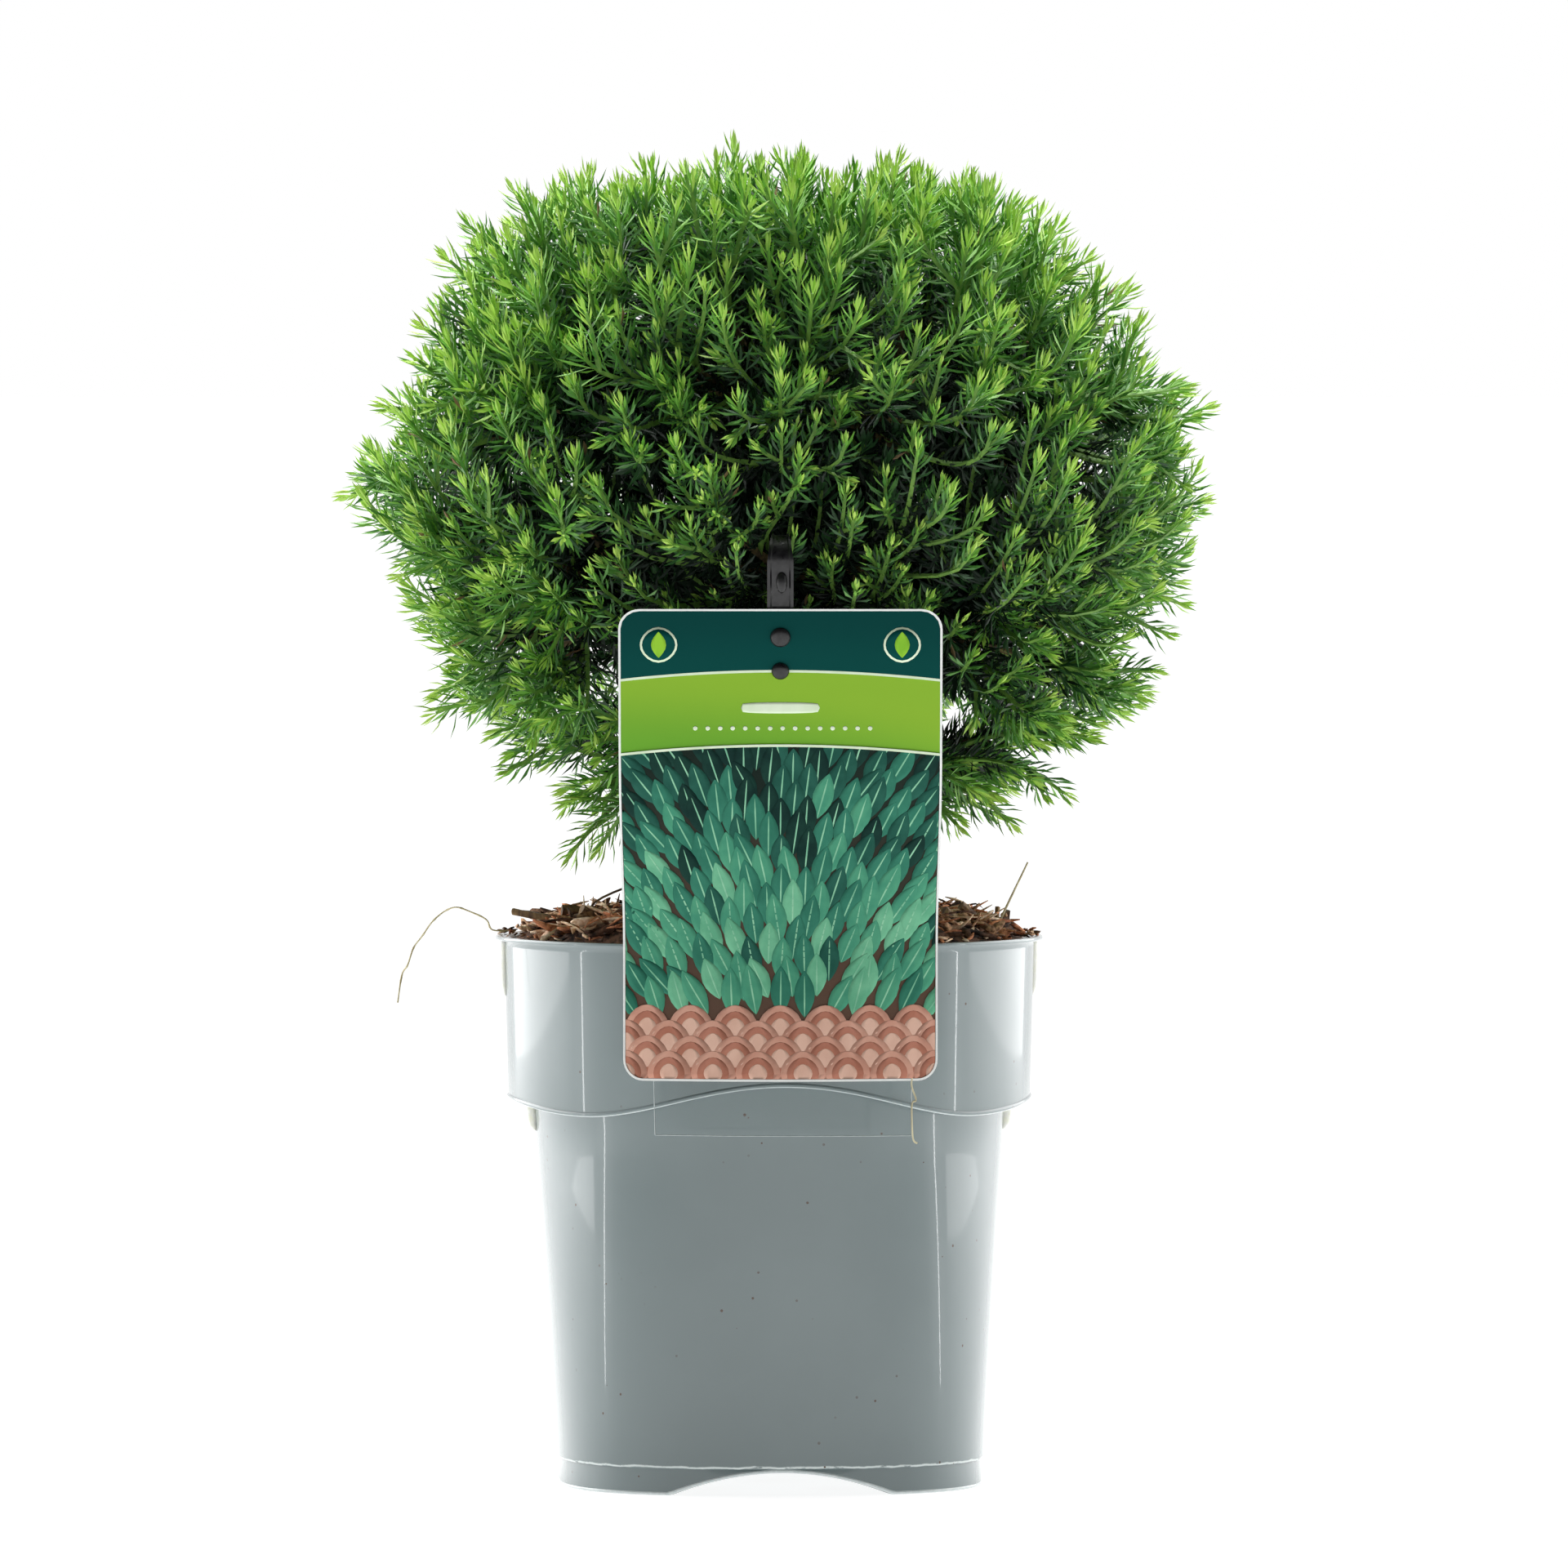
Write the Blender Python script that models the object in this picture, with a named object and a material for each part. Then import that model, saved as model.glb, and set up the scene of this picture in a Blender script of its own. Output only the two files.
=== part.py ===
"""A teddy arborvitae in its grey nursery pot, at real size, in metres, with +Z up.

A round crown of soft needles stands on a short trunk. Bark mulch fills the pot, and a picture label leans on
the rim, held by a dark tie. The front faces -Y. The origin is the middle of the underside of the whole box.
"""

import math
import random
from dataclasses import dataclass

import bmesh
import bpy
import numpy as np
from mathutils import Vector
from mathutils.bvhtree import BVHTree

SEED = 11
GAP = 0.0003
FULL_TURN = 2 * math.pi
GOLDEN_ANGLE = math.pi * (3 - math.sqrt(5))
SMOOTH_ANGLE = math.radians(35)
NEARLY_UPRIGHT = 0.1

# The pot. Its angles are measured from its own front, and it stands turned by POT_TURN.
POT_HEIGHT = 0.170
POT_TURN = math.radians(3.5)
WALL = 0.0012
NOTCH_HALF_ANGLE = math.radians(29.6)
NOTCH_HEIGHT = 0.0070
NOTCH_STEPS = 3
SIDE_STEPS = 6
FOOT_RADIUS = 0.0655
FOOT_ROUND = 0.0007
FOOT_WALL = 0.0027
FLOOR_HEIGHT = 0.0080
SEAM_HEIGHT = 0.0088
BODY_BASE_RADIUS = 0.06635
BODY_MIDDLE_HEIGHT = 0.055
BODY_TOP_RADIUS = 0.0724
BODY_TOP_HEIGHT = 0.108
BASE_SQUARENESS = 2.8
COLLAR_FRONT_HEIGHT = 0.1264
COLLAR_LOW_HEIGHT = 0.1163
COLLAR_SIDE_HEIGHT = 0.1197
COLLAR_LOW_ANGLE = math.radians(48)
COLLAR_BASE_RADIUS = 0.0811
COLLAR_TOP_RADIUS = 0.0823
RIM_RADIUS = 0.0850
RIM_THICK = 0.0013
RIM_ROUND = 0.0003
DRAIN_RADIUS = 0.0050
DRAIN_COUNT = 6
DRAIN_DISTANCE = 0.040
DRAIN_SIDES = 8
RIB_HALF_WIDTH = 0.0009
RIB_ROOT = 0.0006
RIB_TOE = (0.9, 0.8)
RIM_RIB = (0.0175, 0.0015)
COLLAR_RIB = (0.0104, 0.0026)

# The mulch, which mounds up above the rim
SOIL_CLEAR = 0.0008
SOIL_EDGE_HEIGHT = 0.1655
SOIL_TOP_HEIGHT = 0.1750
SOIL_MOUND = ((0.92, 0.1712), (0.76, 0.1762), (0.48, 0.1758))
SOIL_FLAT_RADIUS = 0.016
SOIL_ROUGHNESS = 0.0013

# The trunk
TRUNK_BASE_HEIGHT = SOIL_TOP_HEIGHT + GAP
TRUNK_TOP_HEIGHT = 0.3350
TRUNK_SIDES = 10
TRUNK_RINGS = 10
TRUNK_RING_CROWDING = 1.5
TRUNK_RADIUS = 0.0062
TRUNK_TIP_RADIUS = 0.0020
FLARE_RADIUS = 0.0042
FLARE_LENGTH = 0.0070
TRUNK_LEAN = (0.0045, 0.0020)
TRUNK_SWAY = 0.0020

# The crown's outline: each height, with its reach to the left and right of the pot's axis
CROWN_OUTLINE = (
    (0.184, 0.050, 0.052),
    (0.200, 0.062, 0.076),
    (0.220, 0.080, 0.098),
    (0.240, 0.109, 0.120),
    (0.262, 0.112, 0.119),
    (0.285, 0.122, 0.137),
    (0.306, 0.133, 0.142),
    (0.326, 0.130, 0.136),
    (0.346, 0.115, 0.129),
    (0.367, 0.109, 0.114),
    (0.387, 0.095, 0.095),
    (0.400, 0.082, 0.086),
    (0.410, 0.066, 0.069),
    (0.4165, 0.0, 0.0),
)
CROWN_HEIGHTS, CROWN_LEFT, CROWN_RIGHT = np.array(CROWN_OUTLINE).T
CROWN_FOOT, CROWN_TOP = CROWN_HEIGHTS[[0, -1]]
CROWN_WIDEST = max(CROWN_RIGHT)
CROWN_CENTRE = (0.004, 0.0, 0.282)
OUTLINE_STEPS = 600

# The masses in rings round the trunk: how many, the sites' distance from the crown's middle line and their
# height, the first one's azimuth in degrees, the inner plane, the ceiling over the trunk, the stem's radius
MASS_RINGS = (
    ("low", 5, 0.050, 0.212, 18, 0.022, 0.200, 0.0017),
    ("middle", 6, 0.085, 0.280, 30, 0.040, CROWN_TOP, 0.0018),
    ("high", 5, 0.072, 0.348, 54, 0.028, CROWN_TOP, 0.0012),
)
TOP_SITE_HEIGHT = 0.392
CELL_WALL = 0.0004

# Each mass's core
CORE_SHARE = 0.77
CORE_GRID = 0.006
CORE_WALL = 0.0016
CORE_STEP = 0.0005
CORE_DENT = 0.18

# The sprays. A bare twig runs out of the core, and each face of its outer stretch is drawn out into a needle.
SPRAY_COUNT = 139
SPRAY_SIDES = 3
SPRAY_STEPS = 4
SPRAY_STEP = 0.0068
SPRAY_RADIUS = 0.0019
SPRAY_TIP_RADIUS = 0.0011
SPRAY_TIP_LENGTH = 0.0100
SPRAY_TWIST = math.radians(24)
SPRAY_BOW = 0.0025
SPRAY_UPWARD = 0.45
SPRAY_LONGEST = 0.070
SPRAY_ROOT_DEPTH = 0.0035
SPRAY_ROOT_STEP = 0.002
SPRAY_ROOT_TURNS = 6
SPRAY_REACH = (0.94, 1.0)
SPRAY_ROW_SPREAD = (0.2, 0.8)
SPRAY_TURN_SPREAD = 0.08
NEEDLE_LENGTH = 0.0165
NEEDLE_LENGTHS = (0.85, 1.1)
NEEDLE_SPREAD = (math.radians(62), math.radians(30))
NEEDLE_TRIMS = 4

# The furthest tips: the way across from the pot's axis, in degrees from +X, the height, and the reach
LEADING_TIPS = (
    (0, 0.4168, 0.011),
    (2, 0.3060, 0.142),
    (178, 0.3140, 0.133),
    (178, 0.2430, 0.109),
    (4, 0.2430, 0.124),
    (90, 0.3080, 0.136),
    (262, 0.3180, 0.134),
    (2, 0.2090, 0.098),
    (178, 0.2050, 0.068),
    (200, 0.1920, 0.060),
)

# The boughs and the stems that carry the masses on from them
BOUGH_SIDES = 6
BOUGH_RINGS = 4
BOUGH_TAPER = 1.6
BOUGH_STAGGER = 0.0025
BOUGH_LOWEST = 0.188
BOUGH_STEEPNESS = 1.0
STEM_RISE = math.radians(30)
STEM_BARE = 0.006
STEM_DEPTH = 0.009
STEM_STEP = 0.0004

# The label, a thin plate that leans out above the rim and hangs straight below it
LABEL_WIDTH = 0.0985
LABEL_LENGTH = 0.1500
LABEL_THICK = 0.0006
LABEL_CORNER = 0.0065
LABEL_X = 0.0035
LABEL_FOOT_HEIGHT = 0.1283
LABEL_LEAN = 0.33
LABEL_BEND_HEIGHT = 0.172
LABEL_BEND_LENGTH = 0.015
LABEL_CURL_RADIUS = 0.135
LABEL_CURL_HEIGHTS = (0.170, 0.240)
LABEL_LEAST_CURL = 0.001
LABEL_RUN_STEPS = 400
LABEL_SLOPE_STEP = 0.001
LABEL_COLUMNS = 6
LABEL_ROWS = 6
CORNER_ROWS = (0.0, 0.29, 1.0)
LABEL_CLEAR = 0.0015
STUD_HEIGHTS = (0.2650, 0.2547)
STUD_HEAD_RADII = (0.0031, 0.0027)
STUD_HEAD_THICK = 0.0016
STUD_DOME = ((0.6, 0.9), (1.0, 0.45))
STUD_SHAFT_RADIUS = 0.0016
STUD_HOLE_RADIUS = 0.0020
STUD_SIDES = 8

# The tie, a flat strap behind the label that turns back into the crown at its top
TIE_HALF_WIDTH = 0.0040
TIE_NARROW = 0.0026
TIE_THICK = 0.0014
TIE_FOOT_HEIGHT = 0.2500
TIE_SHOULDER_HEIGHT = 0.2880
TIE_TOP_HEIGHT = 0.2955
TIE_BACK = 0.0045
TIE_CLEAR = 0.0030
TIE_SLACK = 1.06
TIE_STRAIGHT_RINGS = 4


@dataclass
class Mass:
    """One mass of foliage: the point that its space lies round, and the stem and bough that reach it."""

    name: str
    site: Vector
    outward: Vector
    hollow: float
    ceiling: float
    stem_radius: float
    bough_drop: float


def clear_scene():
    for thing in list(bpy.data.objects):
        bpy.data.objects.remove(thing)


def material(name, colour, roughness, metallic=0.0):
    made = bpy.data.materials.new(name)
    made.use_nodes = True
    shader = made.node_tree.nodes["Principled BSDF"]
    shader.inputs["Base Color"].default_value = (*colour, 1.0)
    shader.inputs["Roughness"].default_value = roughness
    shader.inputs["Metallic"].default_value = metallic
    return made


def pot_material():
    return material("grey_plastic", (0.25, 0.29, 0.29), 0.32)


def soil_material():
    return material("bark_mulch", (0.11, 0.055, 0.028), 0.95)


def bark_material():
    return material("bark", (0.16, 0.085, 0.045), 0.85)


def foliage_material():
    return material("needles", (0.075, 0.17, 0.035), 0.6)


def label_material():
    return material("printed_card", (0.10, 0.26, 0.08), 0.35)


def tie_material():
    return material("dark_plastic", (0.025, 0.018, 0.03), 0.4)


def mesh_object(name, points, faces, look):
    """An object of one closed mesh whose faces point out."""
    mesh = bpy.data.meshes.new(name)
    mesh.from_pydata([tuple(map(float, point)) for point in points], [], faces)
    shape = bmesh.new()
    shape.from_mesh(mesh)
    if shape.calc_volume(signed=True) < 0:
        bmesh.ops.reverse_faces(shape, faces=shape.faces)
    shape.to_mesh(mesh)
    shape.free()
    mesh.materials.append(look)
    made = bpy.data.objects.new(name, mesh)
    bpy.context.scene.collection.objects.link(made)
    return made


def round_off(thing):
    """Shades a round piece smooth, apart from its sharp edges."""
    thing.data.shade_smooth()
    thing.data.set_sharp_from_angle(angle=SMOOTH_ANGLE)


def combine(target, others, operation):
    """Applies one Boolean with a collection of the others to the target, and removes them."""
    group = bpy.data.collections.new("others")
    bpy.context.scene.collection.children.link(group)
    for other in others:
        bpy.context.scene.collection.objects.unlink(other)
        group.objects.link(other)
    boolean = target.modifiers.new("combine", "BOOLEAN")
    boolean.operation = operation
    boolean.operand_type = "COLLECTION"
    boolean.collection = group
    boolean.solver = "EXACT"
    graph = bpy.context.evaluated_depsgraph_get()
    combined = bpy.data.meshes.new_from_object(target.evaluated_get(graph))
    target.modifiers.clear()
    target.data = combined
    for other in others:
        bpy.data.objects.remove(other)
    bpy.data.collections.remove(group)


def band(first, second, sides):
    """The faces between two rings of points that start at these indices."""
    faces = []
    for side in range(sides):
        after = (side + 1) % sides
        faces.append((first + side, first + after, second + after, second + side))
    return faces


def loft(name, rings, look):
    """A tube through rings of as many points each, with a flat face over each end."""
    sides = len(rings[0])
    faces = [tuple(reversed(range(sides)))]
    for index in range(len(rings) - 1):
        faces += band(index * sides, (index + 1) * sides, sides)
    last = (len(rings) - 1) * sides
    faces.append(tuple(range(last, last + sides)))
    return mesh_object(name, np.concatenate(rings), faces, look)


def circle_round(centre, along, radius, sides, start=0.0):
    """Points of a circle across a direction, running anticlockwise as seen from the direction's far end."""
    along = along.normalized()
    across = along.cross(Vector((0, 0, 1)))
    if across.length < NEARLY_UPRIGHT:
        across = Vector((1, 0, 0))
    across.normalize()
    other = along.cross(across)
    angles = start + np.arange(sides) * FULL_TURN / sides
    spokes = np.outer(np.cos(angles), across) + np.outer(np.sin(angles), other)
    return np.array(centre) + radius * spokes


def pot_angles():
    """The grid's angles round the pot, which meet the notches' corners."""
    notch = np.arange(NOTCH_STEPS) * NOTCH_HALF_ANGLE / NOTCH_STEPS
    side = NOTCH_HALF_ANGLE + np.arange(SIDE_STEPS) * (math.pi / 2 - NOTCH_HALF_ANGLE) / SIDE_STEPS
    quarter = np.concatenate((notch, side))
    half = np.concatenate((quarter, [math.pi / 2], math.pi - quarter[:0:-1]))
    return np.concatenate((half, half + math.pi))


def from_front(angles):
    """How far each angle is from the pot's front or back, whichever is nearer."""
    return np.abs((np.asarray(angles) + math.pi / 2) % math.pi - math.pi / 2)


def eased(start, end, share):
    return start + (end - start) * (1 - np.cos(math.pi * np.clip(share, 0, 1))) / 2


def notch_height(angles):
    share = from_front(angles) / NOTCH_HALF_ANGLE
    return NOTCH_HEIGHT * np.clip(1 - share**2, 0, 1)


def collar_height(angles):
    """The collar's wavy lower edge: an arch at front and back, lowest at COLLAR_LOW_ANGLE."""
    away = from_front(angles)
    arch = eased(COLLAR_FRONT_HEIGHT, COLLAR_LOW_HEIGHT, away / COLLAR_LOW_ANGLE)
    rest = (away - COLLAR_LOW_ANGLE) / (math.pi / 2 - COLLAR_LOW_ANGLE)
    return np.where(away < COLLAR_LOW_ANGLE, arch, eased(COLLAR_LOW_HEIGHT, COLLAR_SIDE_HEIGHT, rest))


def body_radius(height):
    slope = (BODY_TOP_RADIUS - BODY_BASE_RADIUS) / (BODY_TOP_HEIGHT - SEAM_HEIGHT)
    return BODY_BASE_RADIUS + slope * (height - SEAM_HEIGHT)


def pot_ring(angles, radius, height):
    """Points round the pot. Its plan is round at the top and squarer towards the foot."""
    share = np.clip((BODY_TOP_HEIGHT - height) / (BODY_TOP_HEIGHT - SEAM_HEIGHT), 0, 1)
    power = 2 + (BASE_SQUARENESS - 2) * share
    plan = (np.abs(np.cos(angles)) ** power + np.abs(np.sin(angles)) ** power) ** (-1 / power)
    reach = radius * plan
    turned = angles + POT_TURN
    heights = np.broadcast_to(height, angles.shape)
    return np.column_stack((reach * np.sin(turned), -reach * np.cos(turned), heights))


def pot_profile(angles):
    """Radius and height of each ring of the skin, from inside the foot out, up, over the rim and down."""
    foot = notch_height(angles)
    step = collar_height(angles)
    under_rim = POT_HEIGHT - RIM_THICK
    inner_foot = FOOT_RADIUS - FOOT_WALL
    floor_top = FLOOR_HEIGHT + WALL
    return (
        (inner_foot, foot),
        (FOOT_RADIUS - FOOT_ROUND, foot),
        (FOOT_RADIUS, foot + FOOT_ROUND),
        (FOOT_RADIUS, SEAM_HEIGHT - FOOT_ROUND),
        (BODY_BASE_RADIUS, SEAM_HEIGHT),
        (body_radius(BODY_MIDDLE_HEIGHT), BODY_MIDDLE_HEIGHT),
        (body_radius(step), step),
        (COLLAR_BASE_RADIUS - FOOT_ROUND, step),
        (COLLAR_BASE_RADIUS, step + FOOT_ROUND),
        (COLLAR_TOP_RADIUS, under_rim - RIM_ROUND),
        (RIM_RADIUS - RIM_ROUND, under_rim),
        (RIM_RADIUS, under_rim + RIM_ROUND),
        (RIM_RADIUS - RIM_ROUND, POT_HEIGHT),
        (COLLAR_TOP_RADIUS, POT_HEIGHT),
        (COLLAR_TOP_RADIUS - WALL, under_rim),
        (COLLAR_BASE_RADIUS - WALL, step + WALL),
        (body_radius(step) - WALL, step + WALL),
        (body_radius(BODY_MIDDLE_HEIGHT) - WALL, BODY_MIDDLE_HEIGHT),
        (BODY_BASE_RADIUS - WALL, floor_top),
        (DRAIN_RADIUS, floor_top),
        (DRAIN_RADIUS, FLOOR_HEIGHT),
        (inner_foot, FLOOR_HEIGHT),
    )


def rib(look, side, wall_radius, top, size):
    """A small web on the pot's outside that stands under an overhang. Its outer edge slopes in to its toe."""
    tall, proud = size
    toe_down, toe_out = RIB_TOE
    angle = POT_TURN + side * math.pi / 2
    outward = Vector((math.sin(angle), -math.cos(angle), 0))
    across = Vector((outward.y, -outward.x, 0)) * RIB_HALF_WIDTH
    corners = (
        (wall_radius - RIB_ROOT, top - tall),
        (wall_radius + proud * toe_out, top - tall * toe_down),
        (wall_radius + proud, top + RIB_ROOT),
        (wall_radius - RIB_ROOT, top + RIB_ROOT),
    )
    ends = []
    for sign in (-1, 1):
        ends.append(np.array([outward * radius + across * sign + Vector((0, 0, z)) for radius, z in corners]))
    return loft("rib", ends, look)


def drain_cutter(look, index):
    angle = index * FULL_TURN / DRAIN_COUNT
    centre = Vector((DRAIN_DISTANCE * math.cos(angle), DRAIN_DISTANCE * math.sin(angle), FLOOR_HEIGHT))
    up = Vector((0, 0, 1))
    ends = [circle_round(centre + up * offset, up, DRAIN_RADIUS, DRAIN_SIDES) for offset in (-WALL, 2 * WALL)]
    return loft("drain", ends, look)


def build_pot():
    look = pot_material()
    angles = pot_angles()
    sides = len(angles)
    rings = [pot_ring(angles, radius, height) for radius, height in pot_profile(angles)]
    faces = []
    for index in range(len(rings)):
        faces += band(index * sides, (index + 1) % len(rings) * sides, sides)
    pot = mesh_object("pot", np.concatenate(rings), faces, look)
    side_edge = COLLAR_SIDE_HEIGHT
    ribs = []
    for side in (-1, 1):
        ribs.append(rib(look, side, COLLAR_TOP_RADIUS, POT_HEIGHT - RIM_THICK, RIM_RIB))
        ribs.append(rib(look, side, body_radius(side_edge), side_edge, COLLAR_RIB))
    combine(pot, ribs, "UNION")
    combine(pot, [drain_cutter(look, index) for index in range(DRAIN_COUNT)], "DIFFERENCE")
    round_off(pot)
    return pot


def build_soil(rng):
    """The root ball and its mulch, which fill the pot and mound up to a level spot round the trunk."""
    angles = pot_angles()
    inset = WALL + SOIL_CLEAR
    step = collar_height(angles)
    rings = [
        pot_ring(angles, BODY_BASE_RADIUS - inset, FLOOR_HEIGHT + WALL + GAP),
        pot_ring(angles, body_radius(BODY_MIDDLE_HEIGHT) - inset, BODY_MIDDLE_HEIGHT),
        pot_ring(angles, body_radius(step) - inset, step + WALL + SOIL_CLEAR),
        pot_ring(angles, COLLAR_BASE_RADIUS - inset, step + WALL + SOIL_CLEAR),
    ]
    edge_radius = COLLAR_TOP_RADIUS - inset
    rings.append(pot_ring(angles, edge_radius, SOIL_EDGE_HEIGHT))
    for share, height in SOIL_MOUND:
        rough = np.array([rng.uniform(-1, 1) for _ in angles]) * SOIL_ROUGHNESS
        rings.append(pot_ring(angles, edge_radius * share, height + rough))
    rings.append(pot_ring(angles, SOIL_FLAT_RADIUS, SOIL_TOP_HEIGHT))
    soil = loft("soil", rings, soil_material())
    round_off(soil)
    return soil


def trunk_point(height):
    share = (height - TRUNK_BASE_HEIGHT) / (TRUNK_TOP_HEIGHT - TRUNK_BASE_HEIGHT)
    sway = TRUNK_SWAY * math.sin(FULL_TURN * share)
    return Vector((TRUNK_LEAN[0] * share + sway, TRUNK_LEAN[1] * share - sway / 2, height))


def trunk_radius(height):
    rise = height - TRUNK_BASE_HEIGHT
    share = rise / (TRUNK_TOP_HEIGHT - TRUNK_BASE_HEIGHT)
    flare = FLARE_RADIUS * math.exp(-rise / FLARE_LENGTH)
    return TRUNK_RADIUS + (TRUNK_TIP_RADIUS - TRUNK_RADIUS) * share + flare


def build_trunk():
    """The trunk, from its flat cut at the mulch through its root flare to its tip."""
    shares = (np.arange(TRUNK_RINGS) / (TRUNK_RINGS - 1)) ** TRUNK_RING_CROWDING
    heights = TRUNK_BASE_HEIGHT + shares * (TRUNK_TOP_HEIGHT - TRUNK_BASE_HEIGHT)
    up = Vector((0, 0, 1))
    rings = [circle_round(trunk_point(z), up, trunk_radius(z), TRUNK_SIDES) for z in heights]
    trunk = loft("trunk", rings, bark_material())
    round_off(trunk)
    return trunk


def crown_reach(height, azimuth):
    """The crown's radius at a height, blended from right to left outline by the azimuth from +X."""
    left = np.interp(height, CROWN_HEIGHTS, CROWN_LEFT)
    right = np.interp(height, CROWN_HEIGHTS, CROWN_RIGHT)
    return left + (right - left) * (1 + np.cos(azimuth)) / 2


def in_crown(points, share):
    """Which points lie within the crown's outline, drawn in about its centre to this share of its size."""
    centre = np.array(CROWN_CENTRE)
    x, y, z = np.moveaxis(centre + (points - centre) / share, -1, 0)
    within = np.hypot(x, y) <= crown_reach(z, np.arctan2(y, x))
    return within & (z >= CROWN_FOOT) & (z <= CROWN_TOP)


def crown_masses():
    """The masses, in three rings round the trunk and one on its tip."""
    masses = []
    for name, count, distance, height, first, hollow, ceiling, stem_radius in MASS_RINGS:
        for index in range(count):
            azimuth = math.radians(first) + index * FULL_TURN / count
            outward = Vector((math.cos(azimuth), math.sin(azimuth), 0))
            site = Vector((CROWN_CENTRE[0], CROWN_CENTRE[1], height)) + outward * distance
            drop = BOUGH_STAGGER * (2 * index % count)
            masses.append(Mass(f"{name}_{index + 1}", site, outward, hollow, ceiling, stem_radius, drop))
    top = Vector((CROWN_CENTRE[0], CROWN_CENTRE[1], TOP_SITE_HEIGHT))
    over_tip = TRUNK_TOP_HEIGHT + STEM_BARE
    masses.append(Mass("top", top, Vector((0, 0, 1)), over_tip, CROWN_TOP, TRUNK_TIP_RADIUS, 0.0))
    return masses


def cell_room(masses, mass, points):
    """How far each point is inside the mass's own space, from the planes half way to the other masses."""
    room = np.full(points.shape[:-1], 1.0)
    for other in masses:
        if other is mass:
            continue
        toward = np.array((other.site - mass.site).normalized())
        middle = np.array((other.site + mass.site) / 2)
        room = np.minimum(room, (middle - points) @ toward)
    return room


def past_hollow(mass, points):
    """How far each point is off the trunk and boughs: past the inner plane and under a rising ceiling."""
    along = points @ np.array(mass.outward)
    return np.minimum(along - mass.hollow, mass.ceiling + along - points[..., 2])


def label_depth(height):
    """The y of the label's middle surface at a height: upright below the rim, and leaning out above it."""
    def lean(z):
        along = z - LABEL_BEND_HEIGHT
        return LABEL_LEAN * (along + np.sqrt(along**2 + LABEL_BEND_LENGTH**2)) / 2

    seat = POT_HEIGHT - RIM_THICK
    return -(RIM_RADIUS + GAP + LABEL_THICK / 2) + lean(seat) - lean(height)


def label_top_height():
    heights, lengths = label_run()
    return float(np.interp(LABEL_LENGTH, lengths, heights))


def label_run():
    """Heights up the label, and the length along it to each."""
    heights = np.linspace(LABEL_FOOT_HEIGHT, LABEL_FOOT_HEIGHT + LABEL_LENGTH, LABEL_RUN_STEPS)
    steps = np.hypot(np.diff(heights), np.diff(label_depth(heights)))
    return heights, np.concatenate(([0.0], np.cumsum(steps)))


def near_label(points):
    """Which points come near the label, or lie in front of it."""
    x, y, z = np.moveaxis(points, -1, 0)
    near = (np.abs(x - LABEL_X) < LABEL_WIDTH / 2 + LABEL_CLEAR) & (z < label_top_height() + LABEL_CLEAR)
    return near & (y < label_depth(z) + LABEL_CLEAR + TIE_THICK)


def near_tie(points):
    """Which points come near the tie, or lie in front of it or on its way into the crown."""
    x, y, z = np.moveaxis(points, -1, 0)
    near = (np.abs(x - LABEL_X) < TIE_HALF_WIDTH + TIE_CLEAR) & (y < 0)
    return near & (z > TIE_FOOT_HEIGHT - TIE_CLEAR) & (z < TIE_TOP_HEIGHT + 2 * TIE_CLEAR)


def core_centre(masses, mass):
    """The middle of the room that the mass has for its core."""
    across = np.arange(-CROWN_WIDEST, CROWN_WIDEST, CORE_GRID)
    up = np.arange(CROWN_FOOT, CROWN_TOP, CORE_GRID)
    points = np.stack(np.meshgrid(across, across, up, indexing="ij"), axis=-1).reshape(-1, 3)
    inside = in_crown(points, CORE_SHARE) & (cell_room(masses, mass, points) > CORE_WALL)
    inside &= past_hollow(mass, points) > 0
    return points[inside].mean(axis=0)


def build_core(masses, mass, rng, look):
    """A ball blown up in its mass's space until its points meet a wall or near the outline, then dented."""
    shape = bmesh.new()
    bmesh.ops.create_icosphere(shape, subdivisions=2, radius=1.0)
    spokes = np.array([corner.co.normalized() for corner in shape.verts])
    faces = [tuple(corner.index for corner in face.verts) for face in shape.faces]
    shape.free()
    centre = core_centre(masses, mass)
    runs = np.arange(0.0, CROWN_WIDEST, CORE_STEP)
    points = centre + spokes[:, None, :] * runs[None, :, None]
    free = in_crown(points, CORE_SHARE) & (cell_room(masses, mass, points) > CORE_WALL)
    free &= past_hollow(mass, points) > 0
    free &= ~near_label(points)
    reach = runs[np.maximum(np.argmin(free, axis=1) - 1, 0)]
    outermost = (centre - np.array(CROWN_CENTRE)) / np.linalg.norm(centre - np.array(CROWN_CENTRE))
    dents = np.array([rng.random() for _ in reach]) * np.clip(spokes @ outermost, 0, 1)
    reach *= 1 - CORE_DENT * dents
    return mesh_object("core", centre + spokes * reach[:, None], faces, look), Vector(centre)


def tree_of(thing):
    """A search tree of an object's faces."""
    corners = [corner.co.copy() for corner in thing.data.vertices]
    return BVHTree.FromPolygons(corners, [tuple(face.vertices) for face in thing.data.polygons])


def depth_inside(tree, point):
    """How deep a point is inside a closed mesh, and below zero outside it."""
    place, normal, _, distance = tree.find_nearest(point)
    return distance if (point - place).dot(normal) < 0 else -distance


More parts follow.
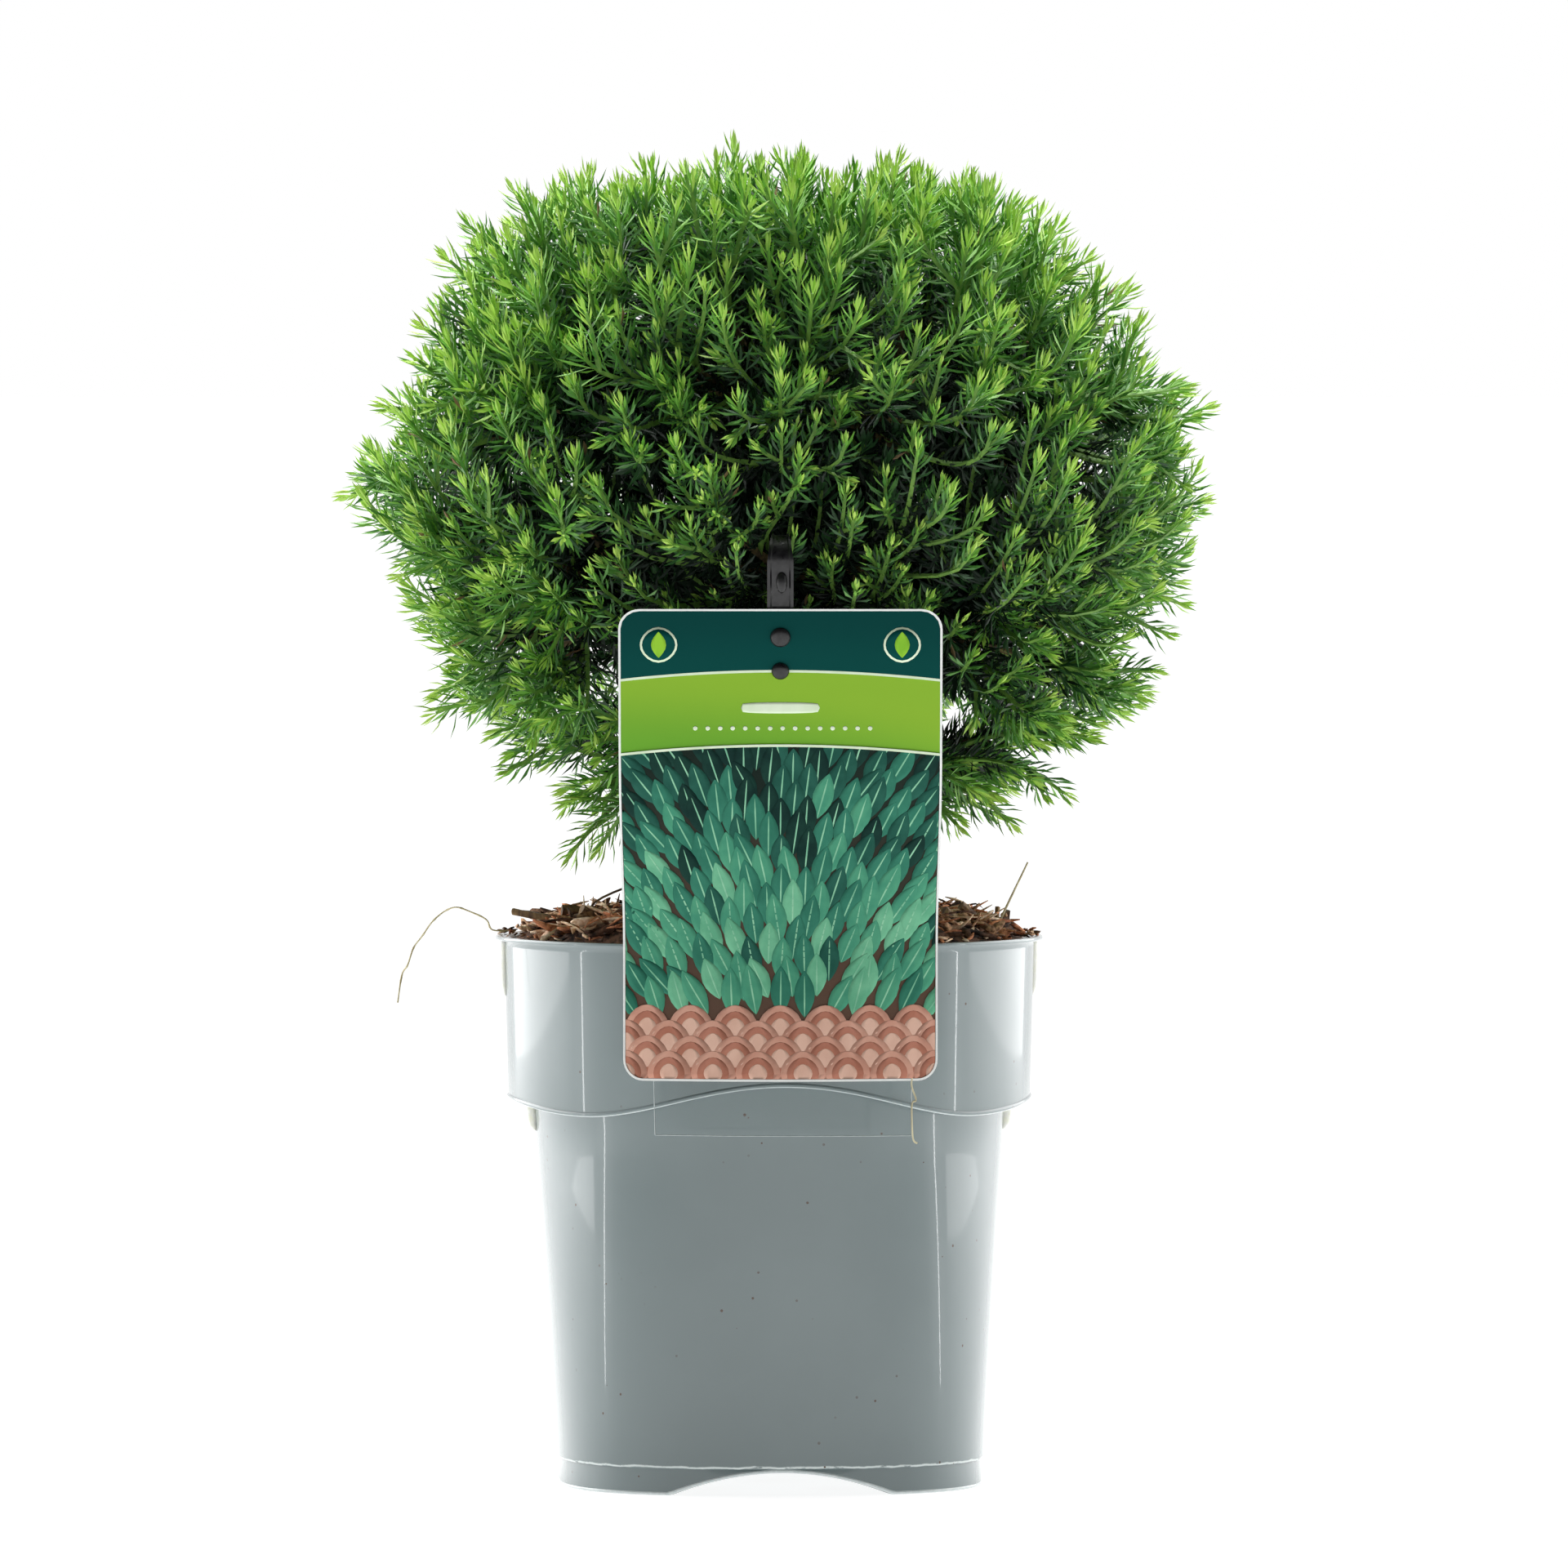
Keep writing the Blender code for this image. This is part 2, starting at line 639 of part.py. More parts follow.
def spray_rings(rng, root, tip):
    """A bare twig's rings and their centres: its foot, and then even steps along its outer stretch."""
    run = tip - root
    along = run.normalized()
    length = run.length - SPRAY_TIP_LENGTH
    bare = length - SPRAY_STEPS * SPRAY_STEP
    bow = along.cross(Vector((rng.uniform(-1, 1), rng.uniform(-1, 1), rng.uniform(-1, 1))))
    start = rng.uniform(0, FULL_TURN)
    rings = []
    centres = []
    for index in range(SPRAY_STEPS + 2):
        place = 0.0 if index == 0 else bare + (index - 1) * SPRAY_STEP
        share = place / length
        radius = SPRAY_RADIUS + (SPRAY_TIP_RADIUS - SPRAY_RADIUS) * share
        centre = root + along * place + bow * SPRAY_BOW * math.sin(math.pi * share)
        rings.append(circle_round(centre, along, radius, SPRAY_SIDES, start + index * SPRAY_TWIST))
        centres.append(centre)
    return rings, centres


def needle_way(along, out, share):
    """The way that a needle points: out from its twig, and the more along it the nearer it is to the tip."""
    spread = NEEDLE_SPREAD[0] + (NEEDLE_SPREAD[1] - NEEDLE_SPREAD[0]) * share
    out = (out - along * out.dot(along)).normalized()
    return along * math.cos(spread) + out * math.sin(spread)


def spray_mesh(rng, root, tip, fits):
    """Points and faces of one twig with its needles, or nothing if the twig leaves its space."""
    along = (tip - root).normalized()
    rings, centres = spray_rings(rng, root, tip)
    points = list(np.concatenate(rings)) + [np.array(tip)]
    if not fits(np.array(points)).all():
        return None
    end = len(points) - 1
    faces = [tuple(reversed(range(SPRAY_SIDES)))]
    faces += band(0, SPRAY_SIDES, SPRAY_SIDES)
    for index in range(1, SPRAY_STEPS + 1):
        share = (index - 1) / (SPRAY_STEPS - 1)
        middle = (centres[index] + centres[index + 1]) / 2
        for quad in band(index * SPRAY_SIDES, (index + 1) * SPRAY_SIDES, SPRAY_SIDES):
            base = Vector(np.mean([points[corner] for corner in quad], axis=0))
            way = needle_way(along, base - middle, share)
            reach = NEEDLE_LENGTH * rng.uniform(*NEEDLE_LENGTHS)
            apex = len(points)
            points.append(np.array(needle_point(base, way, reach, fits)))
            faces += [(quad[i], quad[(i + 1) % 4], apex) for i in range(4)]
    last = (SPRAY_STEPS + 1) * SPRAY_SIDES
    faces += [(last + side, last + (side + 1) % SPRAY_SIDES, end) for side in range(SPRAY_SIDES)]
    return points, faces


def needle_point(base, way, reach, fits):
    """The needle's tip, drawn in by halves while it lies outside the needle's space."""
    for _ in range(NEEDLE_TRIMS):
        if fits(np.array([base + way * reach])).all():
            break
        reach /= 2
    return base + way * reach


def spray_tips(rng):
    """Tips spread evenly over the crown's outline, each with the way that its twig grows."""
    heights = np.linspace(CROWN_FOOT, CROWN_TOP, OUTLINE_STEPS)
    radii = crown_reach(heights, math.pi / 2)
    rise = np.gradient(heights)
    widen = np.gradient(radii)
    area = np.cumsum(radii * np.hypot(rise, widen))
    centre = Vector(CROWN_CENTRE)
    tips = []
    for index in range(SPRAY_COUNT):
        row = int(np.searchsorted(area, area[-1] * (index + rng.uniform(*SPRAY_ROW_SPREAD)) / SPRAY_COUNT))
        azimuth = index * GOLDEN_ANGLE + rng.uniform(-SPRAY_TURN_SPREAD, SPRAY_TURN_SPREAD)
        outward = Vector((math.cos(azimuth), math.sin(azimuth), 0))
        reach = crown_reach(heights[row], azimuth)
        on_outline = outward * reach + Vector((0, 0, heights[row]))
        tip = centre + (on_outline - centre) * rng.uniform(*SPRAY_REACH)
        normal = outward * rise[row] - Vector((0, 0, 1)) * widen[row]
        tips.append((tip, (normal.normalized() + Vector((0, 0, SPRAY_UPWARD))).normalized()))
    for azimuth, height, reach in LEADING_TIPS:
        outward = Vector((math.cos(math.radians(azimuth)), math.sin(math.radians(azimuth)), 0))
        tip = outward * reach + Vector((0, 0, height))
        tips.append((tip, (tip - centre).normalized()))
    return tips


def spray_root(tree, centre, tip, way):
    """A point well inside the core on a way back from the tip, turned towards the core as far as it needs."""
    homeward = (tip - centre).normalized()
    shortest = SPRAY_STEPS * SPRAY_STEP + SPRAY_TIP_LENGTH
    for turn in np.linspace(0, 1, SPRAY_ROOT_TURNS):
        back = (way * (1 - turn) + homeward * turn).normalized()
        for length in np.arange(shortest, SPRAY_LONGEST, SPRAY_ROOT_STEP):
            root = tip - back * length
            if depth_inside(tree, root) > SPRAY_ROOT_DEPTH:
                return root
    return None


def stem_start(mass, centre):
    """Where the mass's stem begins, past its bough's tip or the trunk's, and the way that it runs."""
    if mass.outward.z > 0:
        return trunk_point(TRUNK_TOP_HEIGHT) + mass.outward * GAP, mass.outward
    run = centre.dot(mass.outward) - (mass.hollow - STEM_BARE)
    begin = centre - mass.outward * run
    begin.z -= run * math.tan(STEM_RISE)
    return begin, (centre - begin).normalized()


def build_mass(masses, mass, tips, rng, look):
    """One mass of foliage: its core, its stem and its sprays, fused into one solid."""
    core, centre = build_core(masses, mass, rng, look)
    tree = tree_of(core)
    begin, way = stem_start(mass, centre)

    def fits(points):
        inside = cell_room(masses, mass, points) > CELL_WALL
        return inside & (past_hollow(mass, points) > 0) & ~near_label(points) & ~near_tie(points)

    reach = STEM_BARE
    while depth_inside(tree, begin + way * reach) < STEM_DEPTH and reach < (centre - begin).length:
        reach += STEM_STEP
    ends = [circle_round(begin + way * run, way, mass.stem_radius, BOUGH_SIDES) for run in (0.0, reach)]
    parts = [loft("stem", ends, look)]
    for tip, grows in tips:
        if cell_room(masses, mass, np.array([tip]))[0] < CELL_WALL:
            continue
        root = spray_root(tree, centre, tip, grows)
        made = root and spray_mesh(rng, root, tip, fits)
        if made:
            parts.append(mesh_object("spray", *made, look))
    combine(core, parts, "UNION")
    core.name = f"foliage_{mass.name}"
    return core, begin, way


def build_bough(mass, tip, way, look):
    """A limb that leaves the trunk level, curves up and ends just short of its mass's stem."""
    tip = tip - way * GAP
    run = tip.dot(mass.outward) - CROWN_CENTRE[0] * mass.outward.x
    base_height = max(tip.z - run * BOUGH_STEEPNESS - mass.bough_drop, BOUGH_LOWEST)
    foot = base_height - mass.stem_radius * BOUGH_TAPER
    base = trunk_point(base_height) + mass.outward * (trunk_radius(foot) + GAP)
    pull = (tip - base).length
    rings = []
    for step in range(BOUGH_RINGS):
        t = step / (BOUGH_RINGS - 1)
        centre = base * (2 * t**3 - 3 * t**2 + 1) + tip * (3 * t**2 - 2 * t**3)
        centre += mass.outward * pull * (t**3 - 2 * t**2 + t) + way * pull * (t**3 - t**2)
        slope = (tip - base) * (6 * t - 6 * t**2)
        slope += mass.outward * pull * (3 * t**2 - 4 * t + 1) + way * pull * (3 * t**2 - 2 * t)
        radius = mass.stem_radius * (BOUGH_TAPER + (1 - BOUGH_TAPER) * t)
        rings.append(circle_round(centre, slope, radius, BOUGH_SIDES))
    bough = loft(f"bough_{mass.name}", rings, look)
    round_off(bough)
    return bough


def build_crown(rng):
    """The masses of foliage and the boughs that reach them."""
    masses = crown_masses()
    tips = spray_tips(rng)
    needles = foliage_material()
    bark = bark_material()
    made = []
    for mass in masses:
        foliage, begin, way = build_mass(masses, mass, tips, rng, needles)
        made.append(foliage)
        if mass.outward.z == 0:
            made.append(build_bough(mass, begin, way, bark))
    return made


def label_surface(offset):
    """A grid of points over the label, this far behind its middle surface."""
    corner = [LABEL_CORNER * share for share in CORNER_ROWS]
    middle = np.linspace(LABEL_CORNER, LABEL_LENGTH - LABEL_CORNER, LABEL_ROWS)[1:-1]
    rows = np.concatenate((corner, middle, [LABEL_LENGTH - place for place in reversed(corner)]))
    to_end = np.minimum(np.minimum(rows, LABEL_LENGTH - rows), LABEL_CORNER)
    inset = LABEL_CORNER - np.sqrt(LABEL_CORNER**2 - (LABEL_CORNER - to_end) ** 2)
    heights, lengths = label_run()
    z = np.interp(rows, lengths, heights)[:, None]
    across = np.linspace(-1, 1, LABEL_COLUMNS + 1)[None, :] * (LABEL_WIDTH / 2 - inset)[:, None]
    low, high = LABEL_CURL_HEIGHTS
    share = eased(1.0, 0.0, (z - low) / (high - low))
    curl = np.maximum(share, LABEL_LEAST_CURL) / LABEL_CURL_RADIUS
    x = LABEL_X + np.sin(curl * across) / curl
    y = label_depth(z) + (1 - np.cos(curl * across)) / curl + offset
    return np.stack((x, y, np.broadcast_to(z, x.shape)), axis=-1)


def stud_line(height):
    """The middle of a stud's hole in the label, and the way out of its front."""
    above, below = height + LABEL_SLOPE_STEP, height - LABEL_SLOPE_STEP
    slope = (label_depth(above) - label_depth(below)) / (above - below)
    return Vector((LABEL_X, label_depth(height), height)), Vector((0, -1, slope)).normalized()


def grid_edge(rows, columns):
    """The numbers of the points round the edge of a grid that is numbered row by row."""
    edge = list(range(columns))
    edge += [row * columns + columns - 1 for row in range(1, rows)]
    edge += [(rows - 1) * columns + column for column in reversed(range(columns - 1))]
    edge += [row * columns for row in reversed(range(1, rows - 1))]
    return edge


def build_label():
    """The label, a closed plate between two grids, with its studs' holes."""
    look = label_material()
    front = label_surface(-LABEL_THICK / 2)
    back = label_surface(LABEL_THICK / 2)
    rows, columns = front.shape[:2]
    count = rows * columns
    faces = []
    for row in range(rows - 1):
        for column in range(columns - 1):
            a = row * columns + column
            for half in ((a, a + 1, a + 1 + columns), (a, a + 1 + columns, a + columns)):
                faces.append(half)
                faces.append(tuple(count + corner for corner in reversed(half)))
    edge = grid_edge(rows, columns)
    for index, corner in enumerate(edge):
        after = edge[(index + 1) % len(edge)]
        faces.append((after, corner, count + corner, count + after))
    points = np.concatenate((front.reshape(-1, 3), back.reshape(-1, 3)))
    label = mesh_object("label", points, faces, look)
    cutters = []
    for height in STUD_HEIGHTS:
        middle, out = stud_line(height)
        ends = [circle_round(middle + out * run, out, STUD_HOLE_RADIUS, STUD_SIDES) for run in (-WALL, WALL)]
        cutters.append(loft("hole", ends, look))
    combine(label, cutters, "DIFFERENCE")
    return label


def build_stud(height, head_radius, look):
    """A snap stud: its shaft through the label, and its domed head in front."""
    middle, out = stud_line(height)
    face = LABEL_THICK / 2 + GAP
    profile = [
        (-(face + TIE_THICK / 2), STUD_SHAFT_RADIUS),
        (face, STUD_SHAFT_RADIUS),
        (face, head_radius),
    ]
    profile += [(face + STUD_HEAD_THICK * rise, head_radius * wide) for rise, wide in STUD_DOME]
    rings = [circle_round(middle + out * run, out, radius, STUD_SIDES) for run, radius in profile]
    return loft("stud", rings, look)


def first_leaf(foliage, eye):
    """The y of the foliage that the strap's end would meet first as it runs back level from its last bend."""
    tree = tree_of(foliage)
    hits = []
    for side in (-TIE_NARROW, 0.0, TIE_NARROW):
        for lift in (-TIE_THICK, 0.0, TIE_THICK):
            hits.append(tree.ray_cast(eye + Vector((side, 0, lift)), Vector((0, 1, 0)))[0].y)
    return min(hits)


def tie_path(foliage):
    """The strap's middle: up the label's back, round a bend, and level into the crown to the foliage."""
    behind = (LABEL_THICK / 2 + GAP + TIE_THICK / 2) * TIE_SLACK
    heights = np.linspace(TIE_FOOT_HEIGHT, TIE_SHOULDER_HEIGHT, TIE_STRAIGHT_RINGS)
    path = [Vector((LABEL_X, label_depth(z) + behind, z)) for z in heights]
    shoulder = path[-1]
    path.append(Vector((LABEL_X, shoulder.y, TIE_TOP_HEIGHT - TIE_THICK)))
    path.append(Vector((LABEL_X, shoulder.y + TIE_BACK, TIE_TOP_HEIGHT)))
    path.append(Vector((LABEL_X, first_leaf(foliage, path[-1]) - GAP, TIE_TOP_HEIGHT)))
    return path


def build_tie(foliage):
    """The strap, flat across its path and narrower past the label's top, with the two studs fused on."""
    look = tie_material()
    path = tie_path(foliage)
    across = Vector((1, 0, 0))
    rings = []
    for index, centre in enumerate(path):
        before = path[max(index - 1, 0)]
        after = path[min(index + 1, len(path) - 1)]
        out = (after - before).normalized().cross(across) * TIE_THICK / 2
        side = across * (TIE_HALF_WIDTH if index < TIE_STRAIGHT_RINGS else TIE_NARROW)
        corners = (centre - side - out, centre + side - out, centre + side + out, centre - side + out)
        rings.append(np.array(corners))
    tie = loft("tie", rings, look)
    studs = [build_stud(height, radius, look) for height, radius in zip(STUD_HEIGHTS, STUD_HEAD_RADII)]
    combine(tie, studs, "UNION")
    return tie


def set_origin(things):
    """Moves the whole object so that the origin is the middle of the underside of its box."""
    corners = np.concatenate([[corner.co[:] for corner in thing.data.vertices] for thing in things])
    low, high = corners.min(axis=0), corners.max(axis=0)
    shift = Vector(((low[0] + high[0]) / 2, (low[1] + high[1]) / 2, low[2]))
    for thing in things:
        thing.location = -shift


def main():
    clear_scene()
    rng = random.Random(SEED)
    things = [build_pot(), build_soil(rng), build_trunk(), build_label()]
    crown = build_crown(rng)
    front = next(thing for thing in crown if thing.name == "foliage_middle_5")
    things += crown
    things.append(build_tie(front))
    set_origin(things)


main()
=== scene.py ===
"""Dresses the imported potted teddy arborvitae: needles, bark, mulch, glossy pot, printed label and tie.

All sizes are metres. Shapes are worked out round the pot's own axis, with +Z up and the front towards -Y,
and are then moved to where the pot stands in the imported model.
"""

import logging
import math
from dataclasses import dataclass, field
from enum import Enum

import bpy
import numpy as np
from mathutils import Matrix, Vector


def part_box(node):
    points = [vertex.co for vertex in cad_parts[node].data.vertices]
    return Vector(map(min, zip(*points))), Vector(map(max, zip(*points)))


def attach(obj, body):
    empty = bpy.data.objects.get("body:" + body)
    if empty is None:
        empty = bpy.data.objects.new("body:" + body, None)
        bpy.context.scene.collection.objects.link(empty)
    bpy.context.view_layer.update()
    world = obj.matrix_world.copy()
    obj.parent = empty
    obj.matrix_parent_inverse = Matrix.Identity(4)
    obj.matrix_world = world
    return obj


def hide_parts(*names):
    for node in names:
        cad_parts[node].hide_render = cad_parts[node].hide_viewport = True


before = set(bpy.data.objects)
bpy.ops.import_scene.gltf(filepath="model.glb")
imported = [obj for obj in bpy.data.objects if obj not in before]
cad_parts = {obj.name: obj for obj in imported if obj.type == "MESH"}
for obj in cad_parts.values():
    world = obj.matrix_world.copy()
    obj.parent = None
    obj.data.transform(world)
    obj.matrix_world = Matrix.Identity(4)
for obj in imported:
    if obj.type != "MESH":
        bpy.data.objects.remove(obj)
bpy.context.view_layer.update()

Array = np.ndarray
FULL_TURN = 2 * math.pi
GOLDEN_ANGLE = math.pi * (3 - math.sqrt(5))
GAP = 0.0003
SEED = 11
UP = np.array([0.0, 0.0, 1.0])
log = logging.getLogger("potted_arborvitae")


def unit(vectors: Array) -> Array:
    """Each vector divided by its own length."""
    return vectors / np.maximum(np.linalg.norm(vectors, axis=-1, keepdims=True), 1e-12)


def dot(first: Array, second: Array) -> Array:
    """The sum of the products of the last axis."""
    return np.sum(first * second, axis=-1)


def eased(start: float, end: float, share: Array) -> Array:
    """Half a cosine wave that goes from start to end while share goes from 0 to 1."""
    return start + (end - start) * (1 - np.cos(math.pi * np.clip(share, 0, 1))) / 2


def way_of(heading: Array, tilt: Array | float = 0.0) -> Array:
    """Unit vectors at a heading from +X towards +Y, tilted up from level."""
    flat = np.cos(tilt)
    return np.stack((np.cos(heading) * flat, np.sin(heading) * flat, np.sin(tilt) + 0 * heading), axis=-1)


def cubic(t: Array, root: Array, tip: Array, leave: Array, arrive: Array) -> Array:
    """Points at shares t of a cubic curve from root to tip that starts along leave and ends along arrive."""
    ends = root * (2 * t**3 - 3 * t**2 + 1) + tip * (3 * t**2 - 2 * t**3)
    return ends + leave * (t**3 - 2 * t**2 + t) + arrive * (t**3 - t**2)


def between(starts: Array, ends: Array, steps: int) -> Array:
    """Evenly spaced points on the straight way from each start to its end."""
    t = np.linspace(0, 1, steps)[:, None]
    return starts[:, None] * (1 - t) + ends[:, None] * t


def ripple(places: Array, wave: float, rng: np.random.Generator) -> Array:
    """A smooth random field: nine sine waves of about one length in random directions, added up.

    Args:
        places: Points, with their coordinates on the last axis.
        wave: The usual wave length in metres.
        rng: Where the directions and phases are drawn from.

    Returns:
        One value for each point, mostly from -1 to 1.
    """
    count = 9
    ways = unit(rng.normal(size=(count, 3))) * FULL_TURN / (wave * rng.uniform(0.6, 1.6, (count, 1)))
    phases = rng.uniform(0, FULL_TURN, count)
    return np.sin(places @ ways.T + phases).sum(axis=-1) / math.sqrt(count)


@dataclass
class Shape:
    """A mesh as arrays: points, faces as rows of three or four point numbers, and a place on the print."""

    points: Array
    faces: list[Array]
    uv: Array | None = None


def joined(shapes: list[Shape]) -> Shape:
    """One shape of all the given ones, with each one's face numbers moved on past the points before it."""
    starts = np.cumsum([0] + [len(shape.points) for shape in shapes])
    faces = [rows + start for shape, start in zip(shapes, starts) for rows in shape.faces]
    return Shape(np.concatenate([shape.points for shape in shapes]), faces)


def grid_faces(rows: int, columns: int, ring: bool = False, loop: bool = False) -> Array:
    """The four-sided faces of a grid of points that is numbered row by row.

    Args:
        rows: How many rows of points there are.
        columns: How many points a row has.
        ring: Whether each row closes on itself.
        loop: Whether the last row joins the first.

    Returns:
        Rows of four point numbers, each running along its row first.
    """
    row = np.arange(rows if loop else rows - 1)[:, None]
    column = np.arange(columns if ring else columns - 1)[None, :]
    below, above = row * columns, (row + 1) % rows * columns
    after = (column + 1) % columns
    return np.stack((below + column, below + after, above + after, above + column), axis=-1).reshape(-1, 4)


def fans(rows: int, columns: int) -> tuple[Array, Array]:
    """Triangles that close a grid's first and last ring on two more points, numbered after the grid's own."""
    side = np.arange(columns)
    after = (side + 1) % columns
    last = (rows - 1) * columns
    foot = np.stack((np.full(columns, last + columns), after, side), axis=-1)
    head = np.stack((np.full(columns, last + columns + 1), last + side, last + after), axis=-1)
    return foot, head


def tubes(paths: Array, radii: Array, sides: int) -> Shape:
    """Tubes along many paths at once, with each end closed on the path's own end point.

    A ring's points are the path's point plus the radius times the cosine and sine of the angle round it,
    along two ways across the run.

    Args:
        paths: Points, as paths by steps by three.
        radii: Radii, as paths by steps, or by steps by sides where the surface has relief.
        sides: How many points a ring has.

    Returns:
        The tubes as one shape.
    """
    count, steps = paths.shape[:2]
    run = unit(np.gradient(paths, axis=1))
    upright = np.abs(run[:, :, 2].mean(axis=1)) > 0.8
    guide = np.where(upright[:, None], [1.0, 0.0, 0.0], [0.0, 0.0, 1.0])[:, None, :]
    across = unit(np.cross(run, guide))
    other = np.cross(run, across)
    angles = np.arange(sides) * FULL_TURN / sides
    spokes = np.cos(angles)[:, None] * across[:, :, None] + np.sin(angles)[:, None] * other[:, :, None]
    wide = radii[..., None] if radii.ndim == 2 else radii
    rings = paths[:, :, None] + spokes * wide[..., None]
    points = np.concatenate((rings.reshape(count, -1, 3), paths[:, :1], paths[:, -1:]), axis=1)
    starts = (np.arange(count) * points.shape[1])[:, None, None]
    quads = grid_faces(steps, sides, ring=True)[None] + starts
    ends = np.concatenate(fans(steps, sides))[None] + starts
    return Shape(points.reshape(-1, 3), [quads.reshape(-1, 4), ends.reshape(-1, 3)])


def slab(front: Array, back: Array) -> Shape:
    """A thin closed plate between two grids of points, whose rows run anticlockwise seen from the front.

    Args:
        front: The front's points, as rows by columns by three.
        back: The back's points, in the same order.

    Returns:
        The plate, with both faces and the rim round them.
    """
    rows, columns = front.shape[:2]
    count = rows * columns
    faces = grid_faces(rows, columns)
    edge = np.concatenate((
        np.arange(columns),
        np.arange(1, rows) * columns + columns - 1,
        (rows - 1) * columns + np.arange(columns - 2, -1, -1),
        np.arange(rows - 2, 0, -1) * columns,
    ))
    after = np.roll(edge, -1)
    rim = np.stack((after, edge, edge + count, after + count), axis=-1)
    points = np.concatenate((front.reshape(-1, 3), back.reshape(-1, 3)))
    return Shape(points, [faces, faces[:, ::-1] + count, rim])


class Bench:
    """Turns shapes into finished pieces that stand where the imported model's pot does."""

    def __init__(self) -> None:
        """Reads the pot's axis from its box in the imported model."""
        low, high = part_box("pot")
        self.axis = np.array([(low.x + high.x) / 2, (low.y + high.y) / 2, 0.0])
        self.triangles = 0

    def put(
        self,
        name: str,
        shape: Shape,
        look: bpy.types.Material,
        nodes: tuple[str, ...] = (),
        smooth: float | None = math.radians(40),
    ) -> bpy.types.Object:
        """Makes one piece of the object.

        Args:
            name: The piece's name.
            shape: Its shape round the pot's axis.
            look: Its material.
            nodes: The nodes that it stands for.
            smooth: The angle up to which its faces are shaded as one surface, or nothing for flat faces.

        Returns:
            The piece, riding on the object.
        """
        mesh = bpy.data.meshes.new(name)
        corners = np.concatenate([rows.ravel() for rows in shape.faces])
        sizes = np.concatenate([np.full(len(rows), rows.shape[1]) for rows in shape.faces])
        mesh.vertices.add(len(shape.points))
        mesh.vertices.foreach_set("co", (shape.points + self.axis).astype(np.float32).ravel())
        mesh.loops.add(len(corners))
        mesh.loops.foreach_set("vertex_index", corners.astype(np.int32))
        mesh.polygons.add(len(sizes))
        mesh.polygons.foreach_set("loop_start", (np.cumsum(sizes) - sizes).astype(np.int32))
        mesh.update(calc_edges=True)
        if shape.uv is not None:
            layer = mesh.uv_layers.new(name="print")
            layer.data.foreach_set("uv", shape.uv[corners].astype(np.float32).ravel())
        if smooth is not None:
            mesh.shade_smooth()
            mesh.set_sharp_from_angle(angle=smooth)
        mesh.materials.append(look)
        piece = bpy.data.objects.new(name, mesh)
        bpy.context.scene.collection.objects.link(piece)
        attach(piece, "root")
        if nodes:
            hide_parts(*nodes)
        count = int((sizes - 2).sum())
        self.triangles += count
        log.info("%s: %d triangles", name, count)
        return piece


class Recipe:
    """One material's node tree as it is put together round its Principled shader."""

    def __init__(self, name: str, roughness: float) -> None:
        """Starts a material whose patterns lie in the frame's own coordinates."""
        self.material = bpy.data.materials.new(name)
        self.material.use_nodes = True
        self.tree = self.material.node_tree
        self.shader = self.tree.nodes["Principled BSDF"]
        self.shader.inputs["Roughness"].default_value = roughness
        self.place = self.add("TexCoord").outputs["Object"]

    def add(self, kind: str, settings: dict | None = None, inputs: dict | None = None) -> bpy.types.Node:
        """Adds a node with these settings, and feeds its inputs by name or number."""
        made = self.tree.nodes.new("ShaderNode" + kind)
        for key, value in (settings or {}).items():
            setattr(made, key, value)
        for key, value in (inputs or {}).items():
            self.feed(made.inputs[key], value)
        return made

    def feed(self, socket: bpy.types.NodeSocket, value: object) -> None:
        """Links an output to a socket, or sets a plain value on it."""
        if isinstance(value, bpy.types.NodeSocket):
            self.tree.links.new(value, socket)
        else:
            socket.default_value = value

    def set(self, **values: object) -> None:
        """Feeds the shader's own sockets, named with _ for each space."""
        for key, value in values.items():
            self.feed(self.shader.inputs[key.replace("_", " ")], value)

    def noise(self, scale: float, detail: float = 3.0, stretch: tuple = (1, 1, 1)) -> bpy.types.NodeSocket:
        """Cloudy noise in the frame's coordinates, finer along an axis whose stretch is large."""
        vector = self.add("Mapping", inputs={"Vector": self.place, "Scale": stretch}).outputs[0]
        return self.add("TexNoise", inputs={"Vector": vector, "Scale": scale, "Detail": detail}).outputs[0]

    def specks(self, scale: float, size: float) -> bpy.types.NodeSocket:
        """Small separate spots: 1 within size cells of a random point, and 0 elsewhere."""
        cells = self.add("TexVoronoi", inputs={"Vector": self.place, "Scale": scale})
        return self.math("LESS_THAN", cells.outputs["Distance"], size)

    def math(self, operation: str, first: object, second: object = 0.0) -> bpy.types.NodeSocket:
        """One sum on two values."""
        return self.add("Math", {"operation": operation}, {0: first, 1: second}).outputs[0]

    def band(self, value: object, low: float, high: float) -> bpy.types.NodeSocket:
        """A smooth step from 0 where value is low to 1 where it is high."""
        inputs = {"Value": value, "From Min": low, "From Max": high}
        return self.add("MapRange", {"interpolation_type": "SMOOTHSTEP"}, inputs).outputs[0]

    def mix(self, share: object, first: object, second: object) -> bpy.types.NodeSocket:
        """A colour between two, as share goes from 0 to 1."""
        made = self.add("Mix", {"data_type": "RGBA"}, {0: share, 6: first, 7: second})
        return made.outputs[2]

    def part(self, axis: str) -> bpy.types.NodeSocket:
        """One of the frame's own coordinates."""
        return self.add("SeparateXYZ", inputs={0: self.place}).outputs[axis]

    def bump(self, height: object, depth: float) -> None:
        """Raises the surface by a height from 0 to 1 times depth in metres."""
        made = self.add("Bump", inputs={"Height": height, "Distance": depth, "Strength": 1.0})
        self.feed(self.shader.inputs["Normal"], made.outputs[0])


